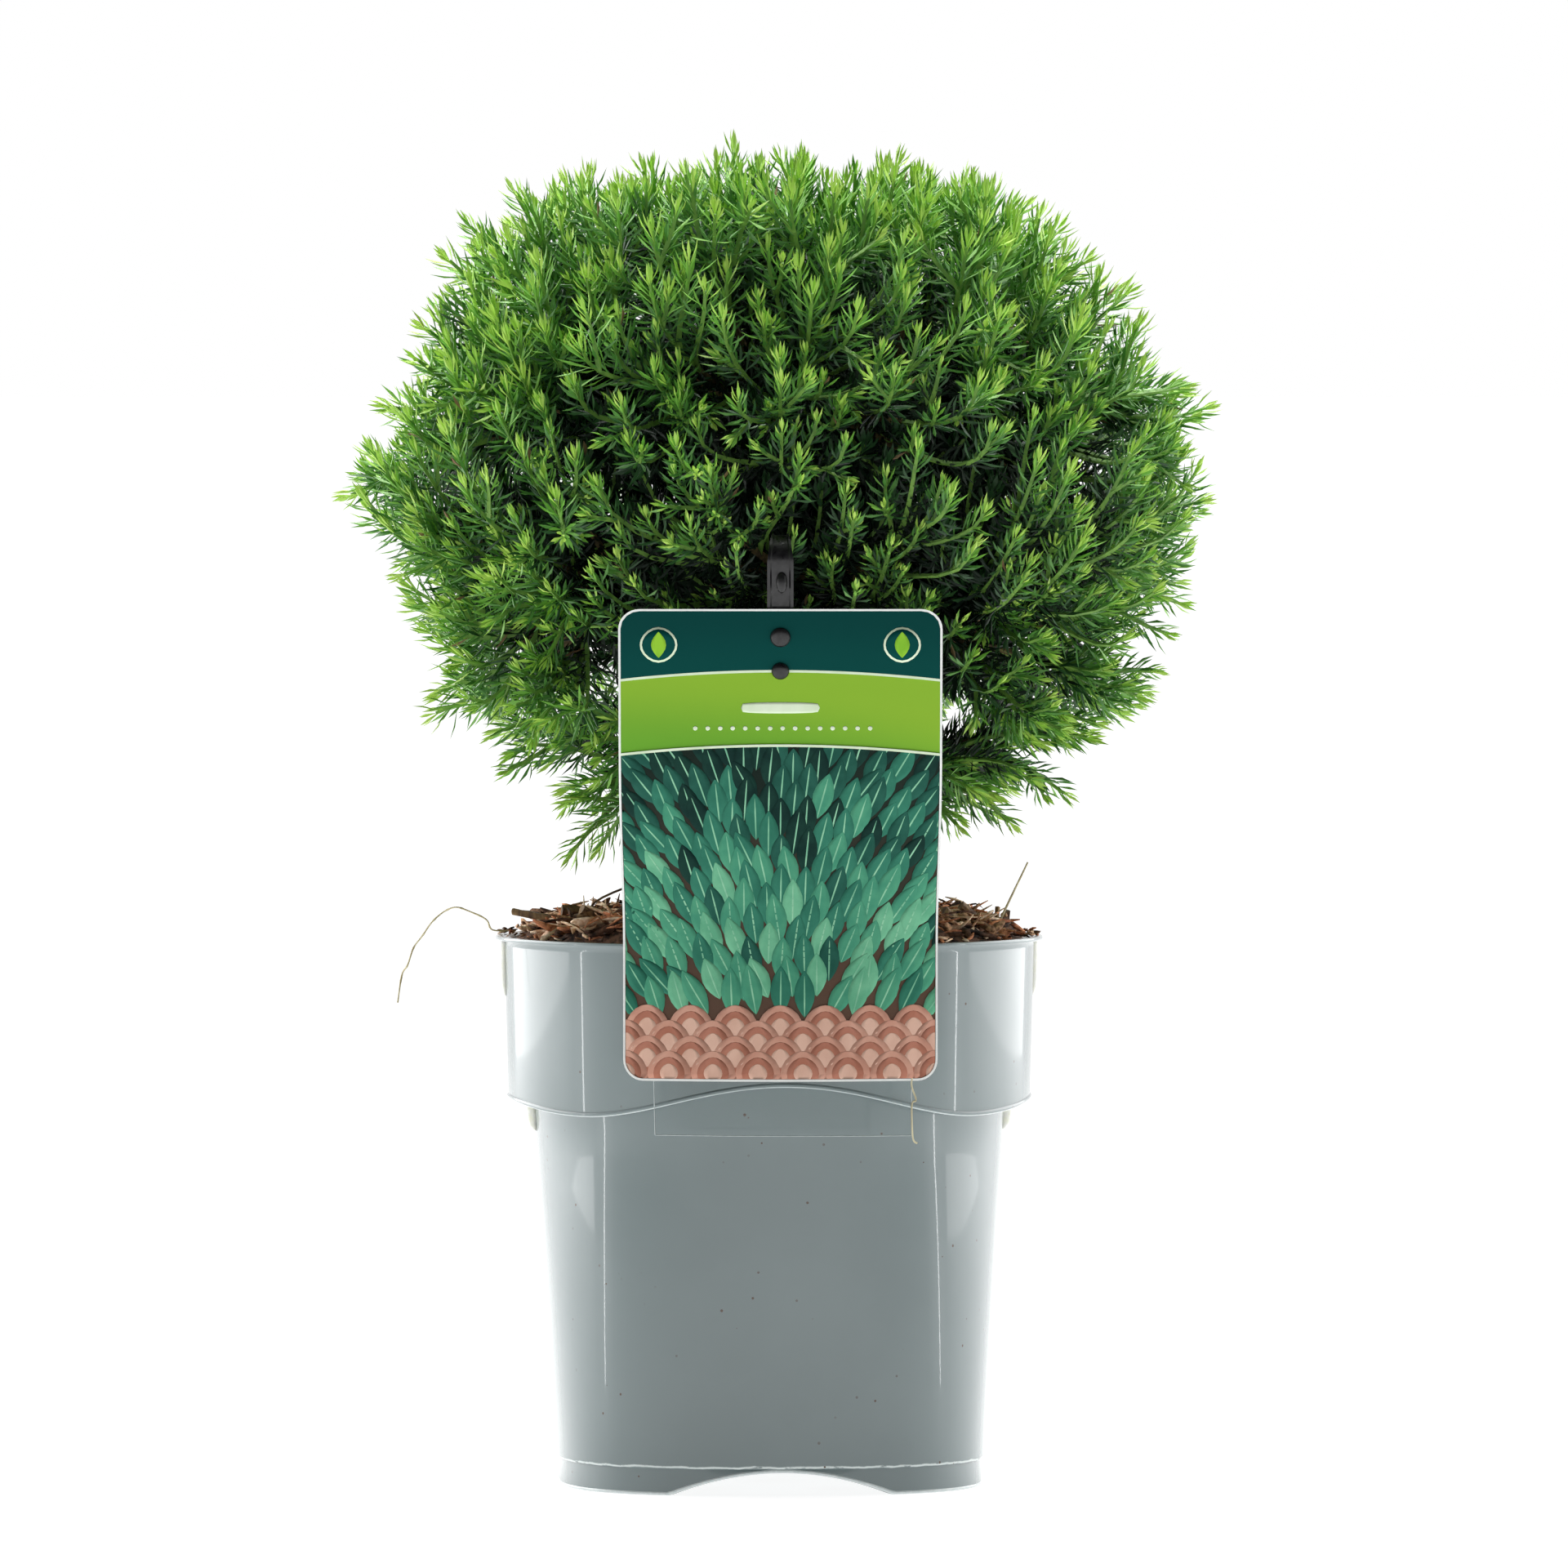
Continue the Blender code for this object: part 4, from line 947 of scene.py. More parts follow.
    def leading_tips(self) -> tuple[Array, Array]:
        """The tips that the outline's furthest points need, and the ways that they grow."""
        angles, heights, reaches = np.array(self.leading).T
        tips = way_of(np.radians(angles)) * reaches[:, None] + UP * heights[:, None]
        way = unit(tips - np.array(self.crown.centre))
        return tips - way * self.lead_bunch, way

    def tucked(self, tips: Array) -> Array:
        """Tips in front of the label are drawn back towards the crown's middle until they clear it."""
        middle = np.array(self.crown.centre)
        shares = np.linspace(1, 0.4, 40)[None, :, None]
        tried = middle + (tips[:, None] - middle) * shares
        first = np.argmin(self.label.hides(tried), axis=1)
        return tried[np.arange(len(tips)), first]

    def grow(self, masses: list[Mass], rng: np.random.Generator) -> tuple[Shoots, Shoots, Shoots, Shoots]:
        """Leaders from each mass's stem, shoots that fork off them, twiglets off both, and inner shoots.

        Args:
            masses: The masses, whose sites share out the tips.
            rng: Where the random parts are drawn from.

        Returns:
            The leaders, the shoots, the twiglets and the inner shoots.
        """
        tips, way, share = self.tips(self.tip_count, self.tip_share, 0.0, rng)
        leading, leading_way = self.leading_tips()
        tips, way = np.concatenate((leading, tips)), np.concatenate((leading_way, way))
        share = np.concatenate((np.ones(len(leading)), share))
        sites = np.stack([mass.site for mass in masses])
        owner = np.linalg.norm(tips[:, None] - sites, axis=-1).argmin(axis=1)
        rings = np.array([("low", "middle", "high").index(mass.ring) for mass in masses])
        starts = np.stack([self.trunk.stem_start(mass)[0] for mass in masses])
        centres = np.stack([mass.centre for mass in masses])
        vigour = self.vigour_of(tips, share, rng)
        lead = np.arange(len(tips)) % self.leader_every == 0
        along = rng.uniform(0.35, 1.0, (lead.sum(), 1))
        root = starts[owner[lead]] + (centres - starts)[owner[lead]] * along
        leave = unit(tips[lead] - root)
        leaders = self.curves(root, tips[lead], way[lead], leave, rings[owner[lead]], vigour[lead])
        shoots = self.fork(leaders, owner[lead], tips[~lead], way[~lead], owner[~lead], vigour[~lead], rng)
        tips, way, share = self.tips(self.inner_count, self.inner_share, self.inner_bays, rng)
        inside = np.linalg.norm(tips[:, None] - sites, axis=-1).argmin(axis=1)
        # The inner shoots' vigour is their share of the reach, so deeper ones get darker tints: painted
        # shade.
        inner = self.fork(leaders, owner[lead], tips, way, inside, share, rng)
        return leaders, shoots, self.twigs([leaders, shoots], rng), inner

    def vigour_of(self, tips: Array, share: Array, rng: np.random.Generator) -> Array:
        """How strongly shoots grow and how bright their tints are: less deep in and behind the label, more at
        the top and left, which is partly painted shade and painted light.
        """
        vigour = rng.normal(1.0, self.vigour_scatter, len(tips)) * np.interp(share, *self.vigour_and_shade_depths)
        vigour = np.clip(vigour, *self.vigour_range)
        vigour *= np.interp(tips[:, 2], self.vigour_heights, self.vigour_and_light_levels)
        held = np.exp(-(np.linalg.norm(tips - np.array(self.held_and_shaded_at), axis=-1) / self.held_and_shaded_reach) ** 2)
        leftward = np.clip(-tips[:, 0] / max(self.crown.left), 0, 1)
        vigour *= (1 - self.held_and_shaded_loss * held) * (1 + self.left_vigour_and_light * leftward)
        return np.minimum(vigour, self.most_vigour)

    @staticmethod
    def curves(root: Array, tip: Array, way: Array, leave: Array, ring: Array, vigour: Array) -> Shoots:
        """Shoots from these ends, whose pulls are as long as the straight way between them."""
        length = np.linalg.norm(tip - root, axis=-1, keepdims=True)
        return Shoots(root, tip, leave * length, way * length, ring, vigour)

    def fork(
        self, leaders: Shoots, lead_owner: Array, tips: Array, way: Array, owner: Array, vigour: Array,
        rng: np.random.Generator,
    ) -> Shoots:
        """Shoots that leave the nearest leader of their own mass some way back from its tip.

        Args:
            leaders: The leaders.
            lead_owner: Which mass each leader belongs to.
            tips: The new shoots' tips.
            way: The way that each new shoot grows at its tip.
            owner: Which mass each new shoot belongs to.
            vigour: How strongly each new shoot grows.
            rng: Where the random parts are drawn from.

        Returns:
            The new shoots.
        """
        away = np.linalg.norm(tips[:, None] - leaders.tip, axis=-1)
        away = away + np.where(owner[:, None] == lead_owner, 0.0, 1.0)
        parent = away.argmin(axis=1)
        apart = np.linalg.norm(tips - leaders.tip[parent], axis=-1)
        back = apart * rng.uniform(*self.fork_back, len(tips)) + self.fork_least
        t = np.clip(1 - np.clip(back, *self.fork_range) / leaders.length()[parent], 0.12, 0.9)[:, None]
        chosen = leaders.picked(parent)
        root = chosen.at(t)[:, 0]
        leave = unit(chosen.run(t)[:, 0] + unit(tips - root) * 1.2)
        return self.curves(root, tips, way, leave, chosen.ring, vigour)

    def twigs(self, parents: list[Shoots], rng: np.random.Generator) -> Shoots:
        """Short twigs that fork off near the tips, out to random sides and a little upwards.

        Args:
            parents: The shoots that they fork off.
            rng: Where the random parts are drawn from.

        Returns:
            The twigs, with a little less vigour than their parents.
        """
        made = []
        for shoots in parents:
            for index, back in enumerate(self.twiglets):
                count = len(shoots.tip)
                keep = rng.random(count) < self.twiglet_chances[index]
                t = np.clip(1 - back * rng.uniform(0.8, 1.2, count) / shoots.length(), 0.2, 0.97)[:, None]
                root = shoots.at(t)[:, 0]
                run = shoots.run(t)[:, 0]
                side = rng.normal(size=(count, 3)) + 0.25 * UP
                side = unit(side - run * dot(side, run)[:, None])
                angle = rng.uniform(*self.twiglet_angles, (count, 1))
                way = unit(run * np.cos(angle) + side * np.sin(angle))
                length = rng.uniform(*self.twiglet_lengths, (count, 1)) * shoots.vigour[:, None] ** 0.4
                leave = unit(way + 0.35 * run)
                grown = self.curves(root, root + way * length, leave, way, shoots.ring, shoots.vigour * 0.85)
                made.append(vars(grown.picked(keep)).values())
        return Shoots(*(np.concatenate(parts) for parts in zip(*made)))

    def needles(
        self, shoots: Shoots, needled: float, tint_shift: float, wider: float, rng: np.random.Generator,
    ) -> tuple[Array, Array, Array]:
        """The needles in whorls along each shoot's outer stretch, each given by the five points of a spindle.

        Whorls crowd together towards the tip. A needle leans out from the run by an angle that grows from the
        tip inwards, is widest three fifths of the way along, and bows outwards a little there.

        Args:
            shoots: The shoots.
            needled: How far back from its tip a shoot has needles.
            tint_shift: How much further back from a tip the needles' tints count from; for the inner shoots
                this is painted shade, darker tints deep in the crown.
            wider: How many times the usual width its needles have.
            rng: Where the random parts are drawn from.

        Returns:
            The needles' points, each one's tint number, and each one's ring number.
        """
        length = shoots.length()
        whorls = int(needled / self.pitch) + 2
        step = np.arange(whorls)
        back = self.pitch * (step - self.crowding * (1 - np.exp(-step / 2.0)))
        back = np.repeat(back, self.whorl)[None] + rng.normal(0, 0.00025, (len(length), whorls * self.whorl))
        back = np.maximum(back, 0)
        limit = np.minimum(needled, 0.96 * length)[:, None]
        t = 1 - back / length[:, None]
        root = shoots.at(np.clip(t, 0, 1))
        run = shoots.run(np.clip(t, 0, 1))
        spin = np.arange(whorls * self.whorl)
        angle = spin % self.whorl * FULL_TURN / self.whorl
        angle = angle + spin // self.whorl * FULL_TURN / (2 * self.whorl)
        angle = angle + rng.uniform(0, FULL_TURN, (len(length), 1)) + rng.normal(0, 0.22, t.shape)
        guide = np.where(np.abs(run[..., 2:]) > 0.9, [1.0, 0.0, 0.0], [0.0, 0.0, 1.0])
        across = unit(np.cross(run, guide))
        other = np.cross(run, across)
        out = across * np.cos(angle)[..., None] + other * np.sin(angle)[..., None]
        low, more = self.lean
        spread = low + more * (1 - np.exp(-back / self.lean_length))
        spread = np.radians(spread + rng.normal(0, self.lean_scatter, t.shape))[..., None]
        way = unit(run * np.cos(spread) + out * np.sin(spread))
        grown = self.young_size + (1 - self.young_size) * (1 - np.exp(-back / self.young_length))
        size = self.needle_length * grown * rng.uniform(0.75, 1.12, t.shape)
        size = (size * shoots.vigour[:, None] ** 0.25)[..., None]
        half_width = self.needle_width * wider * rng.uniform(0.85, 1.1, t.shape)[..., None] / 2
        wide = unit(np.cross(way, run)) * half_width
        keel = unit(np.cross(way, wide)) * self.needle_thick
        keel = keel * np.where(dot(keel, run) > 0, -1, 1)[..., None]
        belly = root + way * size * self.belly_place + out * size * self.belly_bow
        tip = root + way * size
        points = np.stack((root, belly + wide, belly - wide, belly + keel, tip), axis=-2)
        keep = (back < limit) & ~self.label.hides(tip) & ~self.near_tie(tip)
        tint = self.tint_of(back + tint_shift, shoots.vigour[:, None], rng)
        ring = np.broadcast_to(shoots.ring[:, None], t.shape)
        return points[keep], tint[keep], ring[keep]

    def tint_of(self, back: Array, vigour: Array, rng: np.random.Generator) -> Array:
        """Each needle's tint number, by how far it is from its shoot's tip for its shoot's vigour."""
        place = back / vigour + rng.normal(0, self.tint_scatter, back.shape)
        tint = np.digitize(place, self.tint_places)
        return np.where(rng.random(back.shape) < self.dry_chance, len(Tint) - 1, tint)

    def near_tie(self, points: Array) -> Array:
        """Which points come near the tie's strap, or lie in front of it."""
        x, y, z = np.moveaxis(points, -1, 0)
        low, high = self.tie_heights
        beside = np.abs(x - self.label.middle) < self.tie_half_width
        return beside & (y < self.tie_depth) & (z > low) & (z < high)

    def needle_shape(self, points: Array, plain: bool) -> Shape:
        """Closed needles from rows of root, both edges, keel and tip.

        Args:
            points: The rows.
            plain: Whether the edges are moved to the keel's depth, which leaves four faces in place of six.

        Returns:
            The needles, each turned so that its faces point outwards.
        """
        own = np.array([(0, 2, 1), (0, 3, 2), (0, 1, 3), (4, 1, 2), (4, 2, 3), (4, 3, 1)])
        first, left, right = 1, 2, 3
        if plain:
            own = np.array([(0, 2, 1), (0, 1, 3), (1, 2, 3), (0, 3, 2)])
            drop = points[:, 3:4] - points[:, 1:3].mean(axis=1, keepdims=True)
            points = np.concatenate((points[:, :1], points[:, 1:3] + drop, points[:, 4:]), axis=1)
            first, left, right = 0, 1, 2
        edges = np.cross(points[:, left] - points[:, first], points[:, right] - points[:, first])
        flip = dot(edges, points[:, -1] - points[:, 0]) < 0
        starts = (np.arange(len(points)) * points.shape[1])[:, None, None]
        faces = np.where(flip[:, None, None], own[None, :, ::-1], own[None]) + starts
        return Shape(points.reshape(-1, 3), [faces.reshape(-1, 3)])

    def build(self, bench: Bench, masses: list[Mass], rng: np.random.Generator) -> None:
        """Grows the crown and puts its needles, stems and leaders in place of the masses."""
        leaders, shoots, twiglets, inner = self.grow(masses, rng)
        grown = (
            (leaders, 1.5 * self.needled, 0.0, 1.0), (shoots, self.needled, 0.0, 1.0),
            (twiglets, 0.5 * self.needled, 0.0, 1.0), (inner, self.needled, self.inner_shade_shift, self.inner_width),
        )
        parts = [self.needles(*row, rng) for row in grown]
        points, tint, ring = (np.concatenate(rows) for rows in zip(*parts))
        looks = [kind.material() for kind in Tint]
        green = WoodFinish("young_stems", (124, 168, 72), (96, 138, 58), 300.0, 0.0001, 0.6).material()
        brown = WoodFinish("old_twigs", (112, 96, 58), (72, 58, 38), 380.0, 0.0002).material()
        wood = (
            (shoots, 7, (0, 1), 0.8), (twiglets, 4, (0, 1), 0.5), (inner, 5, (0, 1), 0.5),
            (leaders, 8, (0.5, 1), 1.6),
        )
        for number, name in enumerate(("low", "middle", "high")):
            nodes = tuple(f"foliage_{mass.name}" for mass in masses if mass.ring == name)
            for index, (kind, look) in enumerate(zip(Tint, looks)):
                chosen = (ring == number) & (tint == index)
                shape = self.needle_shape(points[chosen], kind not in (Tint.TIP, Tint.YOUNG))
                bench.put(f"needles_{name}_{kind.word}", shape, look, nodes)
            young = [self.stems(part, number, 3, steps, span, swell) for part, steps, span, swell in wood]
            bench.put(f"stems_{name}", joined(young), green, nodes)
            old = self.stems(leaders, number, 5, 8, (0, 0.52), 1.6)
            bench.put(f"leaders_{name}", old, brown, nodes)

    def stems(self, shoots: Shoots, ring: int, sides: int, steps: int, span: tuple, swell: float) -> Shape:
        """The wood of one ring's shoots, over a span of their way, thicker to the root by swell."""
        chosen = shoots.picked(shoots.ring == ring)
        t = np.broadcast_to(np.linspace(*span, steps), (len(chosen.tip), steps))
        radii = self.stem_radius * (1 + swell * (1 - t))
        return tubes(chosen.at(t), radii, sides)


@dataclass(frozen=True)
class Pot:
    """The round grey pot with its wavy collar, gusset ribs, foot band, arched notches and drain holes."""

    height: float = 0.170
    turn: float = math.radians(3.5)
    wall: float = 0.0012
    notch_half_angle: float = math.radians(29.6)
    notch: float = 0.0070
    foot_radius: float = 0.0655
    foot_round: float = 0.0007
    foot_wall: float = 0.0027
    floor: float = 0.0080
    seam: float = 0.0088
    base_radius: float = 0.06635
    body_top_radius: float = 0.0724
    body_top: float = 0.108
    body_bottom: float = 0.055
    body_hidden: float = 0.112
    squareness: float = 2.8
    collar_front: float = 0.1264
    collar_low: float = 0.1163
    collar_side: float = 0.1197
    collar_low_angle: float = math.radians(48)
    collar_radius: float = 0.0811
    collar_top_radius: float = 0.0823
    rim_radius: float = 0.0850
    rim_thick: float = 0.0013
    rim_round: float = 0.0004
    rim_web: float = 0.0006
    floor_rings: tuple = (0.052, 0.030)
    rib_sizes: tuple = ((0.0175, 0.0015), (0.0104, 0.0026))
    rib_half_width: float = 0.0009
    rib_root: float = 0.0006
    lip_sides: int = 8
    drain_radius: float = 0.0050
    drain_count: int = 6
    drain_distance: float = 0.040
    columns: int = 288

    def angles(self) -> Array:
        """Evenly spaced angles round the pot from its own front."""
        return np.arange(self.columns) * FULL_TURN / self.columns

    def from_front(self, angles: Array) -> Array:
        """How far each angle is from the pot's front or back, whichever is nearer."""
        return np.abs((angles + math.pi / 2) % math.pi - math.pi / 2)

    def notch_height(self, angles: Array) -> Array:
        """The foot's lower edge: a parabola over each notch and level elsewhere."""
        share = self.from_front(angles) / self.notch_half_angle
        return self.notch * np.clip(1 - share**2, 0, 1)

    def collar_height(self, angles: Array) -> Array:
        """The collar's lower edge: an arch at front and back, and a lower arch at each side."""
        away = self.from_front(angles)
        arch = eased(self.collar_front, self.collar_low, away / self.collar_low_angle)
        rest = (away - self.collar_low_angle) / (math.pi / 2 - self.collar_low_angle)
        return np.where(away < self.collar_low_angle, arch, eased(self.collar_low, self.collar_side, rest))

    def body_radius(self, height: Array) -> Array:
        """An even taper from the collar down to the seam."""
        slope = (self.body_top_radius - self.base_radius) / (self.body_top - self.seam)
        return self.base_radius + slope * (height - self.seam)

    def ring(self, angles: Array, radius: Array, height: Array) -> Array:
        """Points round the pot, on a plan that goes from a circle at the top to a rounded square below."""
        share = np.clip((self.body_top - height) / (self.body_top - self.seam), 0, 1)
        power = 2 + (self.squareness - 2) * share
        plan = (np.abs(np.cos(angles)) ** power + np.abs(np.sin(angles)) ** power) ** (-1 / power)
        turned = angles + self.turn
        flat = np.stack((radius * plan * np.sin(turned), -radius * plan * np.cos(turned)), axis=-1)
        return np.concatenate((flat, np.broadcast_to(height, angles.shape)[:, None]), axis=-1)

    def profile(self, angles: Array) -> list[tuple]:
        """Radius and height of each ring of the skin, from inside the foot out, up, over the rim and down.

        Args:
            angles: The angles round the pot, for the foot's notches and the collar's wavy lower edge.

        Returns:
            The rings' radii and heights, from the foot's inner edge round to the floor's under side.
        """
        foot = self.notch_height(angles)
        step = self.collar_height(angles)
        under = self.height - self.rim_thick
        inner_foot = self.foot_radius - self.foot_wall
        floor_top = self.floor + self.wall
        soft = self.foot_round
        levels = np.insert(np.linspace(self.seam + soft, self.body_hidden, 12), 1, self.seam + 2 * soft)
        body = [(self.body_radius(z), z + 0 * step) for z in levels]
        under_step = self.body_radius(step)
        rise = under - self.rim_round - step - soft
        spread = self.collar_top_radius - self.collar_radius
        collar = [
            (self.collar_radius + spread * share, step + soft + rise * share)
            for share in (0.03, 0.25, 0.5, 0.75, 0.97, 1)
        ]
        bead = [
            (self.collar_radius - soft * 0.35 + soft * math.cos(a), step + soft * (1 + math.sin(a)))
            for a in np.radians(np.linspace(-60, 70, 6))
        ]
        half = self.rim_thick / 2
        lip = [
            (self.rim_radius - self.rim_round * (1 - math.cos(a)), under + half * (1 + math.sin(a)))
            for a in np.radians(np.linspace(-90, 90, 7))
        ]
        far, near = self.floor_rings
        return [
            (inner_foot, foot),
            (self.foot_radius - soft, foot),
            (self.foot_radius - soft * 0.3, foot + soft * 0.3),
            (self.foot_radius, foot + soft),
            (self.foot_radius, np.minimum(foot + 2 * soft, self.seam - 1.1 * soft)),
            (self.foot_radius - 0.0001, self.seam - soft),
            (self.base_radius - 0.0001, self.seam - soft * 0.3),
            (self.base_radius, self.seam),
            *body,
            (under_step, step - 0.0010),
            (under_step, step),
            (self.collar_radius - soft, step),
            *bead,
            *collar,
            (self.collar_top_radius + 0.0004, under),
            *lip,
            (self.collar_top_radius + self.rim_web, self.height),
            (self.collar_top_radius - 0.0002, self.height - 0.0003),
            (self.collar_top_radius - self.wall, under - 0.0008),
            (self.collar_radius - self.wall, step + self.wall),
            (under_step - self.wall, step + self.wall),
            (self.body_radius(self.body_bottom) - self.wall, self.body_bottom),
            (self.base_radius - self.wall, floor_top),
            (far, floor_top),
            (near, floor_top),
            (self.drain_radius, floor_top),
            (self.drain_radius, self.floor),
            (near, self.floor),
            (far, self.floor),
            (inner_foot, self.floor),
        ]

    def turned(self, profile: list[tuple]) -> Shape:
        """A closed skin: the rings of a profile of radii and heights that comes back to its start."""
        rings = [self.ring(self.angles(), radius, height) for radius, height in profile]
        return Shape(np.concatenate(rings), [grid_faces(len(rings), self.columns, ring=True, loop=True)])

    def lip(self, radius: float, middle: Array) -> Shape:
        """A pale edge as a painted highlight: a small circle carried round the pot at this radius and these
        heights.
        """
        size = self.foot_round
        circle = np.arange(self.lip_sides) * FULL_TURN / self.lip_sides
        return self.turned([(radius + size * math.cos(a), middle + size * math.sin(a)) for a in circle])

    def drain_cutters(self) -> Shape:
        """Short plugs that cut the drain holes."""
        spots = self.drain_distance * way_of(np.arange(self.drain_count) * FULL_TURN / self.drain_count)
        ends = np.array([self.floor - self.wall, self.floor + 3 * self.wall])
        paths = spots[:, None] + UP * ends[:, None]
        return tubes(paths, np.full((self.drain_count, 2), self.drain_radius), 32)

    def ribs(self) -> Shape:
        """Gussets at both sides, under the rim and under the collar: flat webs with a sloping outer edge."""
        made = []
        down = np.linspace(0, 1, 8)[:, None]
        seats = (
            (self.collar_top_radius, self.height - self.rim_thick),
            (float(self.body_radius(self.collar_side)), self.collar_side),
        )
        for side in (-1, 1):
            angle = self.turn + side * math.pi / 2
            out = np.array([math.sin(angle), -math.cos(angle), 0.0])
            across = np.array([-out[1], out[0], 0.0]) * self.rib_half_width
            for (wall, top), (tall, proud) in zip(seats, self.rib_sizes):
                bulge = proud * (1 - 0.25 * down**2) * np.sqrt(np.maximum(1 - down**6, 0)) + GAP * (down - 1)
                inner = out * (wall - self.rib_root) + UP * (top - tall * down)
                outer = out * (wall + bulge) + UP * (top - tall * down)
                face = np.stack((inner, outer), axis=1)
                made.append(slab(face + across, face - across))
        return joined(made)

    def build(self, bench: Bench) -> None:
        """Puts the pot, its ribs and its pale lips, which are painted highlights along the collar's and the
        foot's lower edges, in place of the pot's node.
        """
        look = PotFinish().material()
        shell = self.turned(self.profile(self.angles()))
        pot = bench.put("pot_shell", shell, look, ("pot",), math.radians(50))
        cutter = bench.put("drain_cutter", self.drain_cutters(), look)
        cut = pot.modifiers.new("drains", "BOOLEAN")
        cut.operation = "DIFFERENCE"
        cut.object = cutter
        graph = bpy.context.evaluated_depsgraph_get()
        holed = bpy.data.meshes.new_from_object(pot.evaluated_get(graph))
        pot.modifiers.clear()
        pot.data = holed
        bpy.data.objects.remove(cutter)
        pale = PlasticFinish("pale_ribs", (253, 253, 232), (248, 249, 220), 0.4, clear=1.0).material()
        bench.put("pot_ribs", self.ribs(), pale)
        # The pale lips are painted highlights: thin pale beads along the collar's and the foot's lower edges,
        # where a bright line of reflected floor light runs.
        edge = PlasticFinish("pale_lip", (214, 222, 222), (200, 210, 210), 0.2).material()
        soft, angles = self.foot_round, self.angles()
        collar = self.lip(self.collar_radius - 0.5 * soft, self.collar_height(angles) + 0.8 * soft)
        foot = self.lip(self.foot_radius - 0.8 * soft, self.notch_height(angles) + 1.05 * soft)
        bench.put("pot_lip", joined([collar, foot]), edge)


